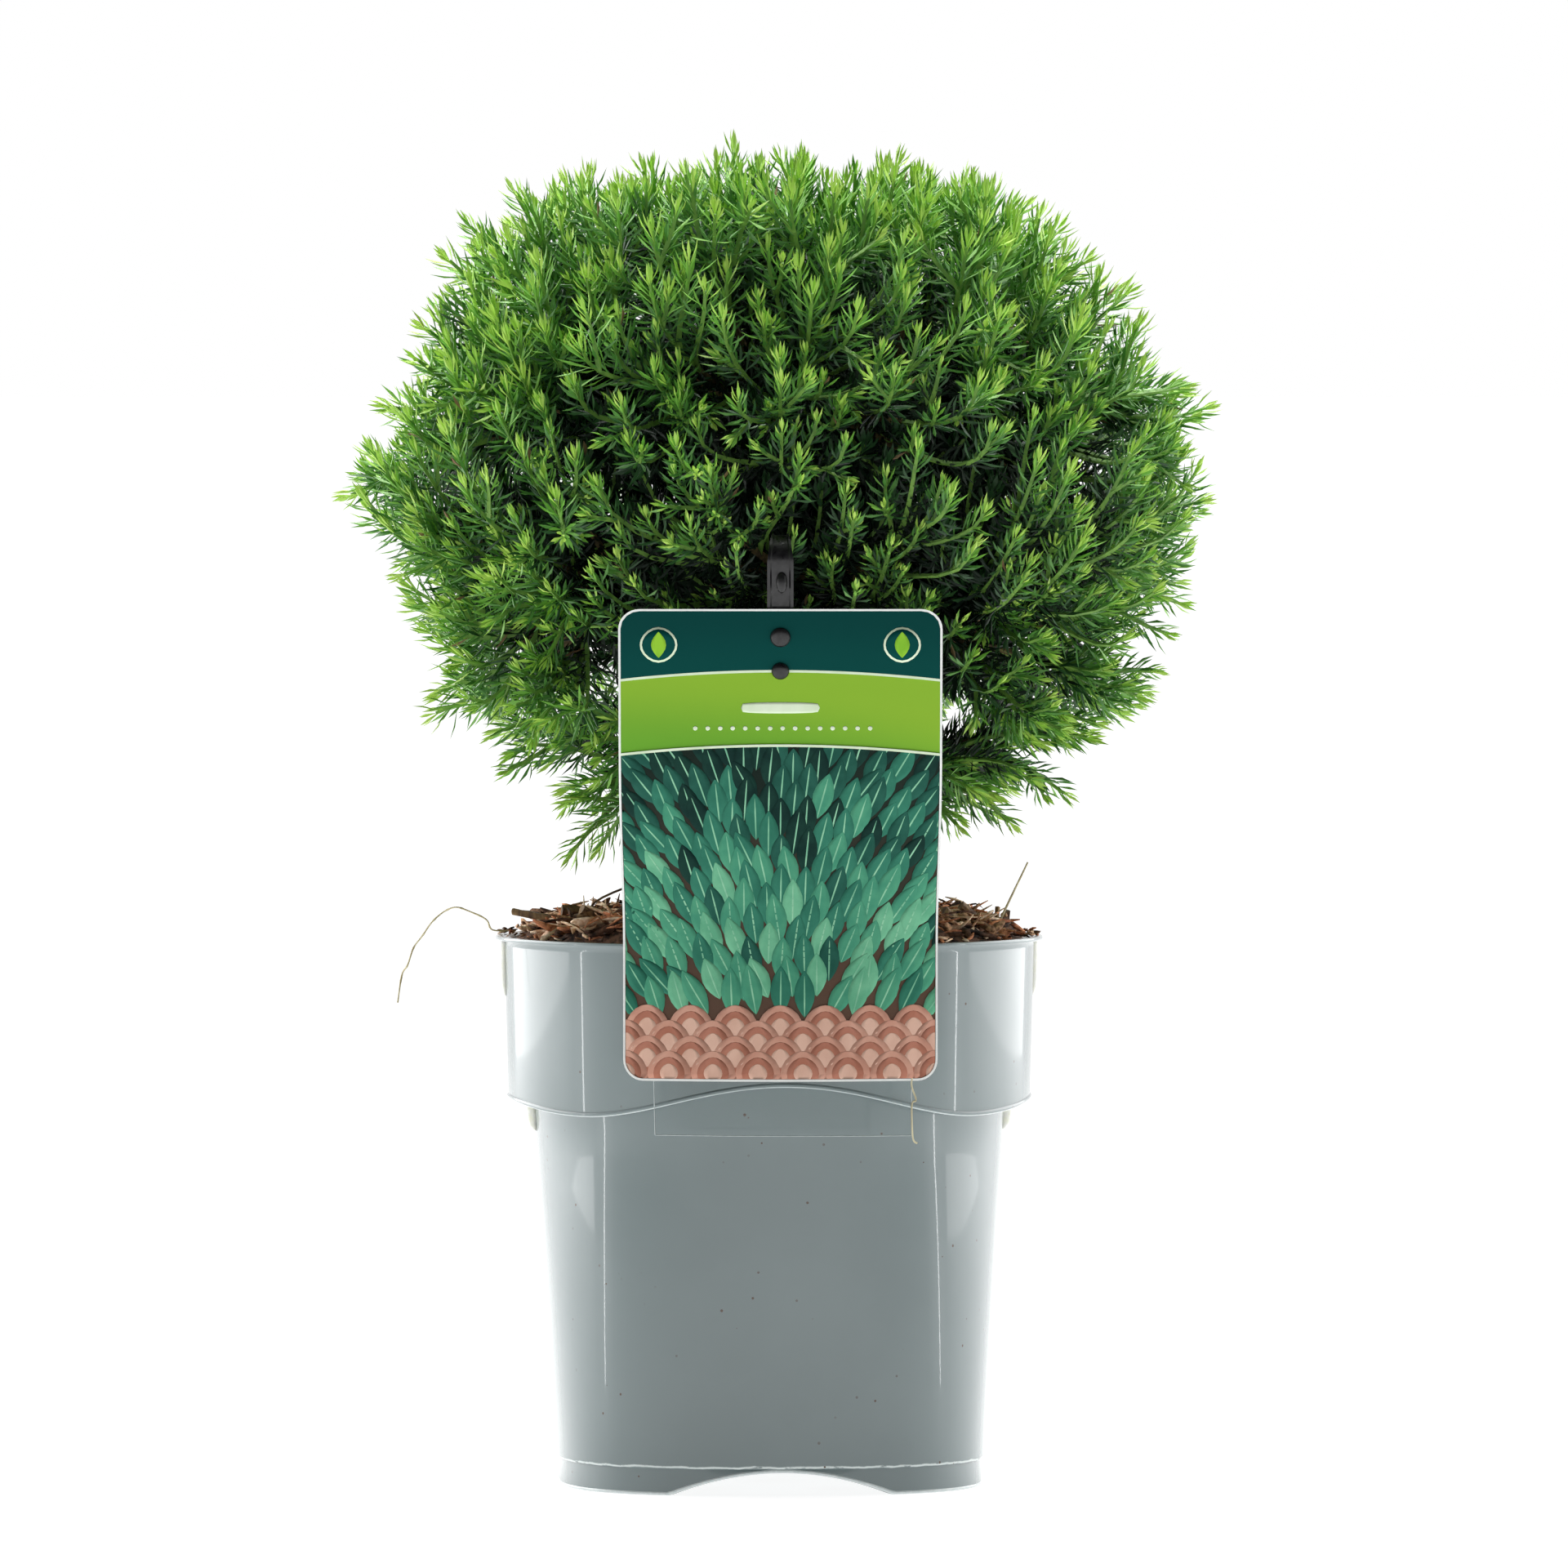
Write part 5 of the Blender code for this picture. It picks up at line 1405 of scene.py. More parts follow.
@dataclass(frozen=True)
class Mulch:
    """The potting mix and the shredded bark on it, heaped a little above the rim."""

    pot: Pot
    inset: float = 0.0020
    edge_height: float = 0.1655
    mound: tuple = (
        (1.0, 0.1676), (0.94, 0.1718), (0.76, 0.1755), (0.48, 0.1752), (0.2, 0.1748), (0.0, 0.1748),
    )
    lump: float = 0.011
    lump_depth: float = 0.0011
    chip_count: int = 820
    chip_length: tuple = (0.005, 0.016)
    chip_width: tuple = (0.13, 0.36)
    chip_lift: tuple = (-0.0006, 0.0030)
    chip_tilt: float = 0.28
    chip_reach: float = 0.0800
    long_share: float = 0.12
    rim_chips: int = 150
    rim_chip_size: float = 0.35
    rim_spread: tuple = (-0.0035, 0.0012)
    shred_count: int = 1100
    shred_length: tuple = (0.006, 0.017)
    shred_lift: tuple = (0.0002, 0.0036)
    shred_radius: tuple = (0.00022, 0.00055)
    shred_spread: float = 0.074
    shred_reach: float = 0.0795

    def surface(self, x: Array, y: Array) -> Array:
        """The heap's height over a point, by its distance from the axis."""
        share = np.hypot(x, y) / (self.pot.collar_top_radius - self.inset)
        places, heights = np.array(self.mound[::-1]).T
        return np.interp(share, places, heights)

    def bed(self, rng: np.random.Generator) -> Shape:
        """The root ball: the pot's inside up to the mulch, and a lumpy top worked out on rings.

        Args:
            rng: Where the fine lumps are drawn from.

        Returns:
            The closed root ball.
        """
        angles = self.pot.angles()[::2]
        step = self.pot.collar_height(angles)
        inset, middle = self.inset, self.pot.body_bottom
        floor = self.pot.floor + self.pot.wall + GAP
        edge = self.pot.collar_top_radius - inset
        rings = [
            self.pot.ring(angles, 0.0005, floor),
            self.pot.ring(angles, self.pot.base_radius - inset, floor),
            self.pot.ring(angles, self.pot.body_radius(middle) - inset, middle),
            self.pot.ring(angles, self.pot.body_radius(step) - inset, step + inset),
            self.pot.ring(angles, self.pot.collar_radius - inset, step + inset),
        ]
        for share in np.linspace(1.0, 0.006, 34):
            ring = self.pot.ring(angles, edge * share, self.edge_height)
            height = self.surface(ring[:, 0], ring[:, 1])
            lumps = ripple(ring, self.lump, np.random.default_rng(SEED)) + rng.normal(0, 0.4, len(angles))
            ring[:, 2] = height + self.lump_depth * lumps * min(1, 6 * (1 - share) + 0.2)
            rings.append(ring)
        count = len(angles)
        poles = np.array([[0, 0, floor], [0, 0, rings[-1][:, 2].mean()]])
        faces = [grid_faces(len(rings), count, ring=True), *fans(len(rings), count)]
        return Shape(np.concatenate((*rings, poles)), faces)

    def chips(self, rng: np.random.Generator) -> tuple[Array, Array]:
        """Slabs of split bark: rings of four points along a length, jagged and thinner to both ends.

        The first ones are small and lie on the pot's rim, and the others lie on the heap within it.

        Args:
            rng: Where places and sizes are drawn from.

        Returns:
            The chips' points as chips by rings by four by three, and their tint numbers.
        """
        count = self.chip_count
        share = np.sqrt(rng.random(count))
        azimuth = rng.uniform(0, FULL_TURN, count)
        reach = share * (self.pot.collar_top_radius - self.inset + self.rim_spread[0])
        length = rng.uniform(*self.chip_length, count)
        length = length * np.where(rng.random(count) < self.long_share, 1.5, 1.0)
        on_rim = np.arange(count) < self.rim_chips
        length = np.where(on_rim, self.rim_chip_size * length, length)
        width = length * rng.uniform(*self.chip_width, count)
        thick = np.clip(width * rng.uniform(0.25, 0.6, count), 0.0006, 0.0028)
        heading = rng.uniform(0, FULL_TURN, count)
        along = way_of(heading, rng.normal(0, self.chip_tilt, count))
        reach = np.minimum(reach, self.chip_reach - 0.45 * length * np.abs(np.cos(heading - azimuth)))
        lift = rng.uniform(*self.chip_lift, count) * (1 - 0.4 * share)
        at_rim = self.pot.collar_top_radius + rng.uniform(*self.rim_spread, count)
        reach = np.where(on_rim, at_rim, reach)
        x, y = reach * np.cos(azimuth), reach * np.sin(azimuth)
        over_rim = self.pot.height + self.pot.rim_web + 0.4 * np.maximum(lift, 0)
        middle = np.stack((x, y, np.where(on_rim, over_rim, self.surface(x, y) + lift)), axis=-1)
        across = unit(np.cross(along, UP) + rng.normal(0, 0.35, (count, 3)))
        across = unit(across - along * dot(across, along)[:, None])
        up = np.cross(across, along)
        t = np.linspace(-0.5, 0.5, 5)
        taper = np.array([0.35, 0.95, 1.0, 0.85, 0.3]) * rng.uniform(0.75, 1.2, (count, 5))
        bend = rng.normal(0, 0.06, (count, 1)) * (4 * t**2)
        spine = middle[:, None] + along[:, None] * (t * length[:, None])[..., None]
        spine = spine + up[:, None] * (bend * length[:, None])[..., None]
        corners = np.array([(-1, -1), (1, -1), (1, 1), (-1, 1)]) * rng.uniform(0.7, 1.15, (count, 5, 4, 2))
        side = across[:, None, None] * (corners[..., :1] * (width[:, None] * taper / 2)[..., None, None])
        rise = up[:, None, None] * (corners[..., 1:] * (thick[:, None] * taper / 2)[..., None, None])
        return spine[:, :, None] + side + rise, rng.integers(0, 4, count)

    def chip_shape(self, rings: Array) -> Shape:
        """Closed chips from their rings of four points."""
        count, steps = rings.shape[:2]
        quads = grid_faces(steps, 4, ring=True)
        caps = np.array([(3, 2, 1, 0), 4 * steps - np.arange(4, 0, -1)])
        own = np.concatenate((quads, caps))
        starts = (np.arange(count) * steps * 4)[:, None, None]
        return Shape(rings.reshape(-1, 3), [(own[None] + starts).reshape(-1, 4)])

    def shreds(self, rng: np.random.Generator) -> tuple[Array, Array]:
        """Loose fibres: thin bowed paths that lie over the chips, some of them standing up a little.

        Args:
            rng: Where places, ways and sizes are drawn from.

        Returns:
            The paths as fibres by steps by three, and their radii, without those that would pass the rim.
        """
        count = self.shred_count
        azimuth = rng.uniform(0, FULL_TURN, count)
        reach = np.sqrt(rng.random(count)) * self.shred_spread
        length = rng.uniform(*self.shred_length, count)
        along = way_of(rng.uniform(0, FULL_TURN, count), rng.normal(0.05, 0.30, count))
        x, y = reach * np.cos(azimuth), reach * np.sin(azimuth)
        middle = np.stack((x, y, self.surface(x, y) + rng.uniform(*self.shred_lift, count)), axis=-1)
        t = np.linspace(-0.5, 0.5, 6)
        bow = unit(np.cross(along, rng.normal(size=(count, 3)))) * rng.uniform(0, 0.14, (count, 1))
        paths = middle[:, None] + along[:, None] * (t[:, None] * length[:, None, None])
        paths = paths + bow[:, None] * ((1 - 4 * t**2)[:, None] * length[:, None, None])
        radii = rng.uniform(*self.shred_radius, (count, 1)) * np.array([0.4, 1, 1.1, 1, 0.8, 0.3])
        held = np.hypot(paths[..., 0], paths[..., 1]).max(axis=1) < self.shred_reach
        return paths[held], radii[held]

    def build(self, bench: Bench, rng: np.random.Generator) -> None:
        """Puts the bed, chips and fibres in place of the soil's node."""
        kinds = (
            ChipFinish("dark", (112, 80, 62), (30, 20, 15)),
            ChipFinish("brown", (224, 176, 138), (108, 76, 56)),
            ChipFinish("red", (234, 160, 116), (146, 88, 62)),
            ChipFinish("tan", (255, 232, 204), (212, 170, 132)),
        )
        looks = [kind.material() for kind in kinds]
        bench.put("mulch_bed", self.bed(rng), looks[0], ("soil",))
        rings, tint = self.chips(rng)
        paths, radii = self.shreds(rng)
        for number, kind in enumerate(kinds):
            chips = self.chip_shape(rings[tint == number])
            shreds = tubes(paths[number::4], radii[number::4], 4)
            bench.put(f"mulch_{kind.name}", joined([chips, shreds]), looks[number], (), None)


@dataclass(frozen=True)
class Litter:
    """What sticks out of the mulch: a knotty straw over the left rim, a stiff one, sticks and bare twigs."""

    pot: Pot
    straw: tuple = (
        (-0.0810, 0.1712), (-0.0862, 0.1716), (-0.0880, 0.1748), (-0.0933, 0.1773), (-0.0974, 0.1786),
        (-0.1012, 0.1771), (-0.1048, 0.1740), (-0.1078, 0.1697), (-0.1106, 0.1659), (-0.1124, 0.1606),
        (-0.1142, 0.1575), (-0.1155, 0.1489),
    )
    straw_radius: float = 0.00026
    straw_sway: float = 0.0008
    knots: tuple = (0.46, 0.9)
    stiff: tuple = ((0.0700, 0.1690), (0.0716, 0.1748), (0.0802, 0.1930))
    stiff_y: float = -0.012
    stiff_radii: tuple = (0.0006, 0.0003)
    twig_radius: float = 0.00038
    sticks: tuple = (
        ((-0.0795, -0.012, 0.1778), (-0.0640, -0.018, 0.1752), 0.0011),
        ((0.0594, -0.020, 0.1800), (0.0668, -0.014, 0.1730), 0.0013),
        ((0.0528, -0.028, 0.1768), (0.0618, -0.022, 0.1698), 0.0034),
        ((0.0700, -0.010, 0.1716), (0.0709, -0.008, 0.1790), 0.0008),
        ((0.0735, 0.012, 0.1700), (0.0742, 0.010, 0.1772), 0.0010),
        ((-0.0580, -0.030, 0.1790), (-0.0500, -0.026, 0.1742), 0.0015),
        ((-0.0642, -0.022, 0.1786), (-0.0556, -0.020, 0.1780), 0.0016),
        ((-0.0690, -0.024, 0.1736), (-0.0560, -0.030, 0.1775), 0.0012),
    )
    bare: tuple = (
        ((-0.0560, -0.020, 0.1740), (-0.0530, -0.018, 0.1815), (-0.0300, -0.012, 0.1905)),
        ((-0.0478, -0.030, 0.1740), (-0.0440, -0.028, 0.1830), (-0.0380, -0.020, 0.1960)),
        ((-0.0500, 0.010, 0.1735), (-0.0450, 0.010, 0.1790), (-0.0340, 0.006, 0.1850)),
        ((0.0300, 0.030, 0.1735), (0.0360, 0.034, 0.1820), (0.0300, 0.030, 0.1950)),
    )

    @staticmethod
    def smoothed(route: Array, steps: int) -> Array:
        """Points of a smooth curve through the route's points, as one cubic from each to the next."""
        route = np.asarray(route, float)
        slopes = np.gradient(route, axis=0)
        places = np.linspace(0, len(route) - 1, steps)
        before = np.minimum(places.astype(int), len(route) - 2)
        t = (places - before)[:, None]
        return cubic(t, route[before], route[before + 1], slopes[before], slopes[before + 1])

    def straws(self) -> Shape:
        """The two dry straws; the long one has ten knots, where a sine passes 0.6."""
        x, z = np.array(self.straw).T
        sway = self.straw_sway * np.sin(9 * np.arange(len(x)))
        bent = self.smoothed(np.stack((x, sway, z), axis=-1), 60)
        thin, swell = self.knots
        knots = thin + swell * np.clip(np.sin(np.linspace(0, 10 * FULL_TURN, 60)), 0.6, 1)
        x, z = np.array(self.stiff).T
        stiff = self.smoothed(np.stack((x, np.full(3, self.stiff_y), z), axis=-1), 16)
        return joined([
            tubes(bent[None], self.straw_radius * knots[None], 6),
            tubes(stiff[None], np.linspace(*self.stiff_radii, 16)[None], 6),
        ])

    def build(self, bench: Bench, rng: np.random.Generator) -> None:
        """Puts the straws, sticks and bare twigs into the mulch."""
        dry = WoodFinish("dry_straw", (214, 204, 166), (172, 158, 116), 500.0, 0.0001, 0.6).material()
        bench.put("straws", self.straws(), dry)
        begins, ends, thick = (np.array(part) for part in zip(*self.sticks))
        paths = between(begins, ends, 7)
        relief = thick[:, None, None] * rng.uniform(0.75, 1.2, (len(self.sticks), 7, 9))
        wood = WoodFinish("split_sticks", (146, 118, 78), (72, 50, 34), 420.0, 0.0004).material()
        bench.put("mulch_sticks", tubes(paths, relief, 9), wood)
        twigs = np.stack([self.smoothed(route, 12) for route in self.bare])
        bare = WoodFinish("bare_twigs", (124, 104, 78), (86, 68, 50), 400.0, 0.0001).material()
        bench.put("bare_twigs", tubes(twigs, np.full((len(twigs), 12), self.twig_radius), 5), bare)


@dataclass(frozen=True)
class LabelPrint:
    """The card's body and a plain design on it: bands, overlapping leaves over tiled scallops, and marks.

    A band's edge is given as its height at the card's sides and how far it arches up between them.
    """

    card: Label
    header: tuple = (0.1270, 0.0030)
    lime: tuple = (0.1030, 0.0030)
    line: float = 0.0008
    columns: int = 61
    step: float = 0.0016
    leaf_length: float = 0.0150
    leaf_width: float = 0.0064
    leaf_rows: tuple = (0.0200, 0.0980, 15)
    leaf_step: float = 0.0074
    leaf_fan: float = math.radians(38)
    fan_reach: float = 0.045
    rib: tuple = (0.9, 0.0005)
    tile: float = 0.0138
    tile_rows: int = 4
    tile_top: float = 0.0235
    tile_rise: float = 0.0047
    tile_discs: tuple = (1.0, 0.72, 0.42)
    tile_layer: float = 6.2
    bar: tuple = (-0.0120, 0.1182, 0.0240, 0.0036)
    dots: tuple = (15, 0.0038, 0.1116, 0.0014)
    ring: float = 0.0115
    ring_line: float = 0.0007
    ring_spots: tuple = ((-0.0370, 0.1385), (0.0370, 0.1385))
    ring_leaf: tuple = (0.0084, 0.0046)

    def body(self) -> Shape:
        """The card itself: a grid between its rounded edges, closed into a thin plate."""
        ends = self.card.corner * (1 - np.cos(np.linspace(0, math.pi / 2, 9)))
        straight = np.arange(self.card.corner + self.step, self.card.length - self.card.corner, self.step)
        rows = np.concatenate((ends, straight, self.card.length - ends[::-1]))
        across = np.linspace(-1, 1, self.columns)[None] * self.card.half_width(rows)[:, None]
        along = np.broadcast_to(rows[:, None], across.shape)
        half = self.card.thick / 2
        return slab(self.card.place(across, along, half), self.card.place(across, along, -half))

    def level(self, edge: tuple, across: Array) -> Array:
        """The height of a band's edge: a shallow parabola that is highest on the card's middle line."""
        base, arch = edge
        return base + arch * (1 - (2 * across / self.card.width) ** 2)

    def lift(self, layer: Array | float) -> Array | float:
        """How far in front of the card's middle surface a layer of ink lies."""
        return self.card.thick / 2 + self.card.ink * (layer + 1)

    def plate(self, low: tuple, high: tuple, layer: int) -> Shape:
        """Ink between two edges, clipped to the card's rounded outline.

        Args:
            low: The lower edge.
            high: The upper edge.
            layer: How many layers of ink lie under this one.

        Returns:
            A thin closed plate, with its places on the print.
        """
        u = np.linspace(-1, 1, self.columns)[None]
        across = u * (self.card.width / 2 - self.card.border)
        foot, tall = self.level(low, across), self.level(high, across) - self.level(low, across)
        rows = max(3, int(float(tall.max()) / self.step))
        v = (1 - np.cos(np.linspace(0, math.pi, rows)))[:, None] / 2
        along = foot + tall * v
        across = u * self.card.half_width(along, self.card.border)
        shape = slab(self.card.place(across, along, self.lift(layer)), self.card.place(across, along, 0.0))
        place = np.stack((across / self.card.width + 0.5, np.broadcast_to(v, across.shape)), axis=-1)
        shape.uv = np.tile(place.reshape(-1, 2), (2, 1))
        return shape

    def marks(
        self, spots: Array, angles: Array | float, lengths: Array | float, widths: Array | float,
        layers: Array | float, blunt: float,
    ) -> Shape:
        """Many small inked marks, each a blade along its own length.

        Half the width at a share t of the length is the sine of half a turn times t, to the power blunt.
        What would pass the print's edge or the band above the picture is drawn in to it.

        Args:
            spots: The marks' feet, as places across and up the card.
            angles: Which way each points, from across.
            lengths: Their lengths.
            widths: Their widths.
            layers: How many layers of ink lie under each.
            blunt: From 1 for pointed leaves down to 0.5 for discs and near 0 for bars.

        Returns:
            Thin closed plates.
        """
        angles, lengths, widths, layers = (
            np.broadcast_to(part, len(spots))[:, None, None] for part in (angles, lengths, widths, layers)
        )
        t = (1 - np.cos(np.linspace(0, math.pi, 11))) / 2
        half = (np.sin(math.pi * t) ** blunt)[:, None] * np.linspace(-1, 1, 5)
        along = np.stack((np.cos(angles), np.sin(angles)), axis=-1)
        side = np.stack((np.sin(angles), -np.cos(angles)), axis=-1)
        flat = spots[:, None, None] + along * (t[:, None] * lengths)[..., None]
        across, up = np.moveaxis(flat + side * (half * widths / 2)[..., None], -1, 0)
        border = 1.2 * self.card.border
        below = spots[:, 1, None, None] < self.lime[0]
        up = np.maximum(np.where(below, np.minimum(up, self.level(self.lime, across)), up), border)
        limit = self.card.half_width(up, border)
        across = np.clip(across, -limit, limit)
        front = self.card.place(across, up, self.lift(layers))
        return joined([slab(near, far) for near, far in zip(front, self.card.place(across, up, 0.0))])

    @staticmethod
    def row(count: int, step: float, height: Array | float) -> Array:
        """Evenly spaced spots across the card, centred on its middle line, at a height."""
        across = (np.arange(count) - (count - 1) / 2) * step
        return np.stack((across, height + 0 * across), axis=-1)

    def leaves(self, rng: np.random.Generator) -> list[Shape]:
        """The leaves in five tones, in staggered rows that fan out and overlap downwards, with their ribs.

        Args:
            rng: Where the small shifts and the tones are drawn from; higher rows are dealt darker tones.

        Returns:
            One shape for each tone, and one of all the ribs.
        """
        low, high, rows = self.leaf_rows
        drawn = []
        for number, foot in enumerate(np.linspace(high, low, rows)):
            count = 13 + number % 2
            spots = self.row(count, self.leaf_step, foot + rng.normal(0, 0.0004, count))
            fan = self.leaf_fan * spots[:, 0] / self.fan_reach
            angles = math.pi / 2 - fan + rng.normal(0, 0.13, count)
            layers = 1.0 + 0.3 * number + 0.12 * (np.arange(count) % 2)
            usual = 0.2 + 3.6 * (number / (rows - 1)) ** 0.6
            drawn.append((spots, angles, layers, np.clip(rng.normal(usual, 0.9, count), 0, 4).astype(int)))
        spots, angles, layers, tones = (np.concatenate(part) for part in zip(*drawn))
        sizes = self.leaf_length * rng.uniform(0.86, 1.08, len(spots))
        made = []
        for tone in range(5):
            mine = tones == tone
            feet, ways, long, over = (part[mine] for part in (spots, angles, sizes, layers))
            made.append(self.marks(feet, ways, long, self.leaf_width, over, 0.85))
        share, width = self.rib
        return [*made, self.marks(spots, angles, share * sizes, width, layers + 0.06, 0.6)]

    def tiles(self) -> list[Shape]:
        """Scallops in rows that overlap downwards, each of three discs in turn smaller, in three tones."""
        made = [[], [], []]
        for number in range(self.tile_rows):
            top = self.tile_top - self.tile_rise * number
            for tone, share in enumerate(self.tile_discs):
                spots = self.row(7 + number % 2, self.tile, top - self.tile * (1 + share) / 2)
                size, layer = self.tile * share, self.tile_layer + 0.5 * number + 0.15 * tone
                made[tone].append(self.marks(spots, math.pi / 2, size, size, layer, 0.5))
        return [joined(shapes) for shapes in made]

    def plain_marks(self) -> tuple[Shape, Shape, Shape]:
        """Plain shapes in place of words: a bar, a row of dots, and a ring with a leaf at each side."""
        left, foot, long, tall = self.bar
        bar = self.marks(np.array([(left, foot)]), 0.0, long, tall, 2.0, 0.12)
        count, gap, foot, size = self.dots
        dots = self.marks(self.row(count, gap, foot), 0.0, size, size, 2.0, 0.5)
        centres = np.array(self.ring_spots)
        outer, inner = (
            self.marks(centres - np.array([size / 2, 0.0]), 0.0, size, size, layer, 0.5)
            for size, layer in ((self.ring, 2.0), (self.ring - 2 * self.ring_line, 3.0))
        )
        long, wide = self.ring_leaf
        leaf = self.marks(centres - np.array([0.0, long / 2]), math.pi / 2, long, wide, 4.0, 0.9)
        return joined([bar, dots, outer]), inner, leaf

    def build(self, bench: Bench, rng: np.random.Generator) -> None:
        """Puts the card in place of the label's node, and the design on it."""
        bend = math.radians(30)
        white = PlasticFinish("white_card", (240, 243, 240), (232, 236, 233), 0.34).material()
        bench.put("label_card", self.body(), white, ("label",), bend)
        foot, head = (self.card.border, 0.0), (self.card.length - self.card.border, 0.0)
        header = PrintFinish("header_ink", (2, 70, 66), (0, 62, 59)).material()
        lime = PrintFinish("lime_ink", (106, 166, 52), (140, 184, 55), 62).material()
        panel = PrintFinish("panel_ink", (96, 74, 62), (30, 44, 38), 90, 0.5, (18, 26, 24)).material()
        bench.put("label_header", self.plate(self.header, head, 0), header, (), bend)
        bench.put("label_lime", self.plate(self.lime, self.header, 0), lime, (), bend)
        bench.put("label_panel", self.plate(foot, self.lime, 0), panel, (), bend)
        half = self.line / 2
        lines = [self.plate((base - half, arch), (base + half, arch), layer)
                 for (base, arch), layer in ((self.lime, 9), (self.header, 1))]
        pale = InkFinish("pale_ink", (226, 240, 214), (214, 232, 200)).material()
        bench.put("label_lines", joined(lines), pale, (), bend)
        words, inner, leaf = self.plain_marks()
        bench.put("label_words", words, pale, (), None)
        bench.put("label_ring_fill", inner, header, (), None)
        inks = (
            ("ring_leaf", "bright", (150, 204, 60), (132, 190, 56)),
            ("leaf_1", "leaf_1", (30, 62, 54), (24, 50, 46)),
            ("leaf_2", "leaf_2", (44, 96, 82), (36, 84, 72)),
            ("leaf_3", "leaf_3", (58, 126, 104), (50, 114, 94)),
            ("leaf_4", "leaf_4", (82, 156, 124), (70, 144, 116)),
            ("leaf_5", "leaf_5", (116, 186, 148), (98, 170, 134)),
            ("rib", "rib", (150, 208, 172), (120, 184, 150)),
            ("clay_1", "clay_1", (214, 164, 144), (204, 150, 130)),
            ("clay_2", "clay_2", (188, 128, 108), (176, 116, 96)),
            ("clay_3", "clay_3", (228, 188, 168), (220, 178, 158)),
        )
        for (name, ink, main, near), shape in zip(inks, [leaf, *self.leaves(rng), *self.tiles()]):
            look = InkFinish(f"{ink}_ink", main, near).material()
            bench.put(f"label_{name}", shape, look, (), None)


@dataclass(frozen=True)
class Tie:
    """The dark strap behind the label that turns back into the crown, with two studs through the card."""

    card: Label
    half_width: float = 0.0040
    narrow: float = 0.0026
    narrowing: int = 6
    thick: float = 0.0014
    foot: float = 0.2500
    shoulder: float = 0.2880
    top: float = 0.2955
    back: float = 0.0100
    upright_rows: int = 14
    section: tuple = (
        (-1, 1), (-0.78, 1.05), (-0.66, 0.45), (0.66, 0.45), (0.78, 1.05), (1, 1), (1, -1), (-1, -1),
    )
    studs: tuple = ((0.2650, 0.0031), (0.2547, 0.0027))
    shaft: tuple = (-0.0012, 0.0002, 0.0016)
    dome: tuple = ((0.00025, 1.0), (0.0009, 0.95), (0.0014, 0.72), (0.0017, 0.30))
    knob: tuple = (0.0004, 0.2816, 0.0034, 0.0017)

    def strap(self) -> Shape:
        """A flat strap with raised edges: one cross profile carried up the card's back and over its top."""
        behind = self.card.thick / 2 + GAP + self.thick / 2
        heights = np.linspace(self.foot, self.shoulder, self.upright_rows)
        rise = np.stack((self.card.depth(heights) + behind * 1.06, heights), axis=-1)
        turn = np.radians(np.linspace(0, 90, 8))[1:]
        radius = self.top - self.shoulder
        over = rise[-1] + radius * np.stack((1 - np.cos(turn), np.sin(turn)), axis=-1)
        spine = np.concatenate((rise, over, over[-1:] + np.array([[self.back, 0.0]])))
        run = unit(np.gradient(spine, axis=0))
        out = np.stack((-run[:, 1], run[:, 0]), axis=-1)
        share = np.clip((np.arange(len(spine)) - self.upright_rows + 1) / self.narrowing, 0, 1)
        width = self.half_width + (self.narrow - self.half_width) * share
        side, up = np.array(self.section).T
        lift = up * self.thick / 2
        x = self.card.middle + side * width[:, None]
        y, z = spine.T[..., None] + out.T[..., None] * lift
        rings = np.stack((x, y, z), axis=-1)
        poles = np.stack((rings[0].mean(axis=0), rings[-1].mean(axis=0)))
        faces = [grid_faces(*x.shape, ring=True), *fans(*x.shape)]
        return Shape(np.concatenate((rings.reshape(-1, 3), poles)), faces)

    def depth(self, height: float) -> float:
        """The card's y at one height."""
        return float(self.card.depth(np.array(height)))

    def domes(self) -> Shape:
        """The studs' shafts and domed heads, and the knob on the strap, each turned about its own line."""
        made = []
        half, step = self.card.thick / 2, 0.001
        begin, neck, thin = self.shaft
        for height, radius in self.studs:
            slope = (self.depth(height + step) - self.depth(height - step)) / (2 * step)
            out = unit(np.array([0.0, -1.0, slope]))
            middle = np.array([self.card.middle, self.depth(height), height])
            runs = np.array([begin, half + neck, *(half + rise for rise, _ in self.dome)])
            radii = np.array([thin, thin, *(radius * share for _, share in self.dome)])
            made.append(tubes((middle + out * runs[:, None])[None], radii[None], 28))
        shift, height, half_length, radius = self.knob
        knob = np.array([self.card.middle + shift, self.depth(height) + shift, height])
        t = np.linspace(-1, 1, 11)
        path = knob + UP * half_length * t[:, None]
        made.append(tubes(path[None], radius * np.sqrt(1.001 - t**2)[None], 16))
        return joined(made)

    def build(self, bench: Bench) -> None:
        """Puts the strap in place of the tie's node, and its studs."""
        look = PlasticFinish("dark_tie", (11, 10, 14), (7, 7, 10), 0.40).material()
        bench.put("tie_strap", self.strap(), look, ("tie",), math.radians(35))
        bench.put("tie_studs", self.domes(), look, (), math.radians(50))


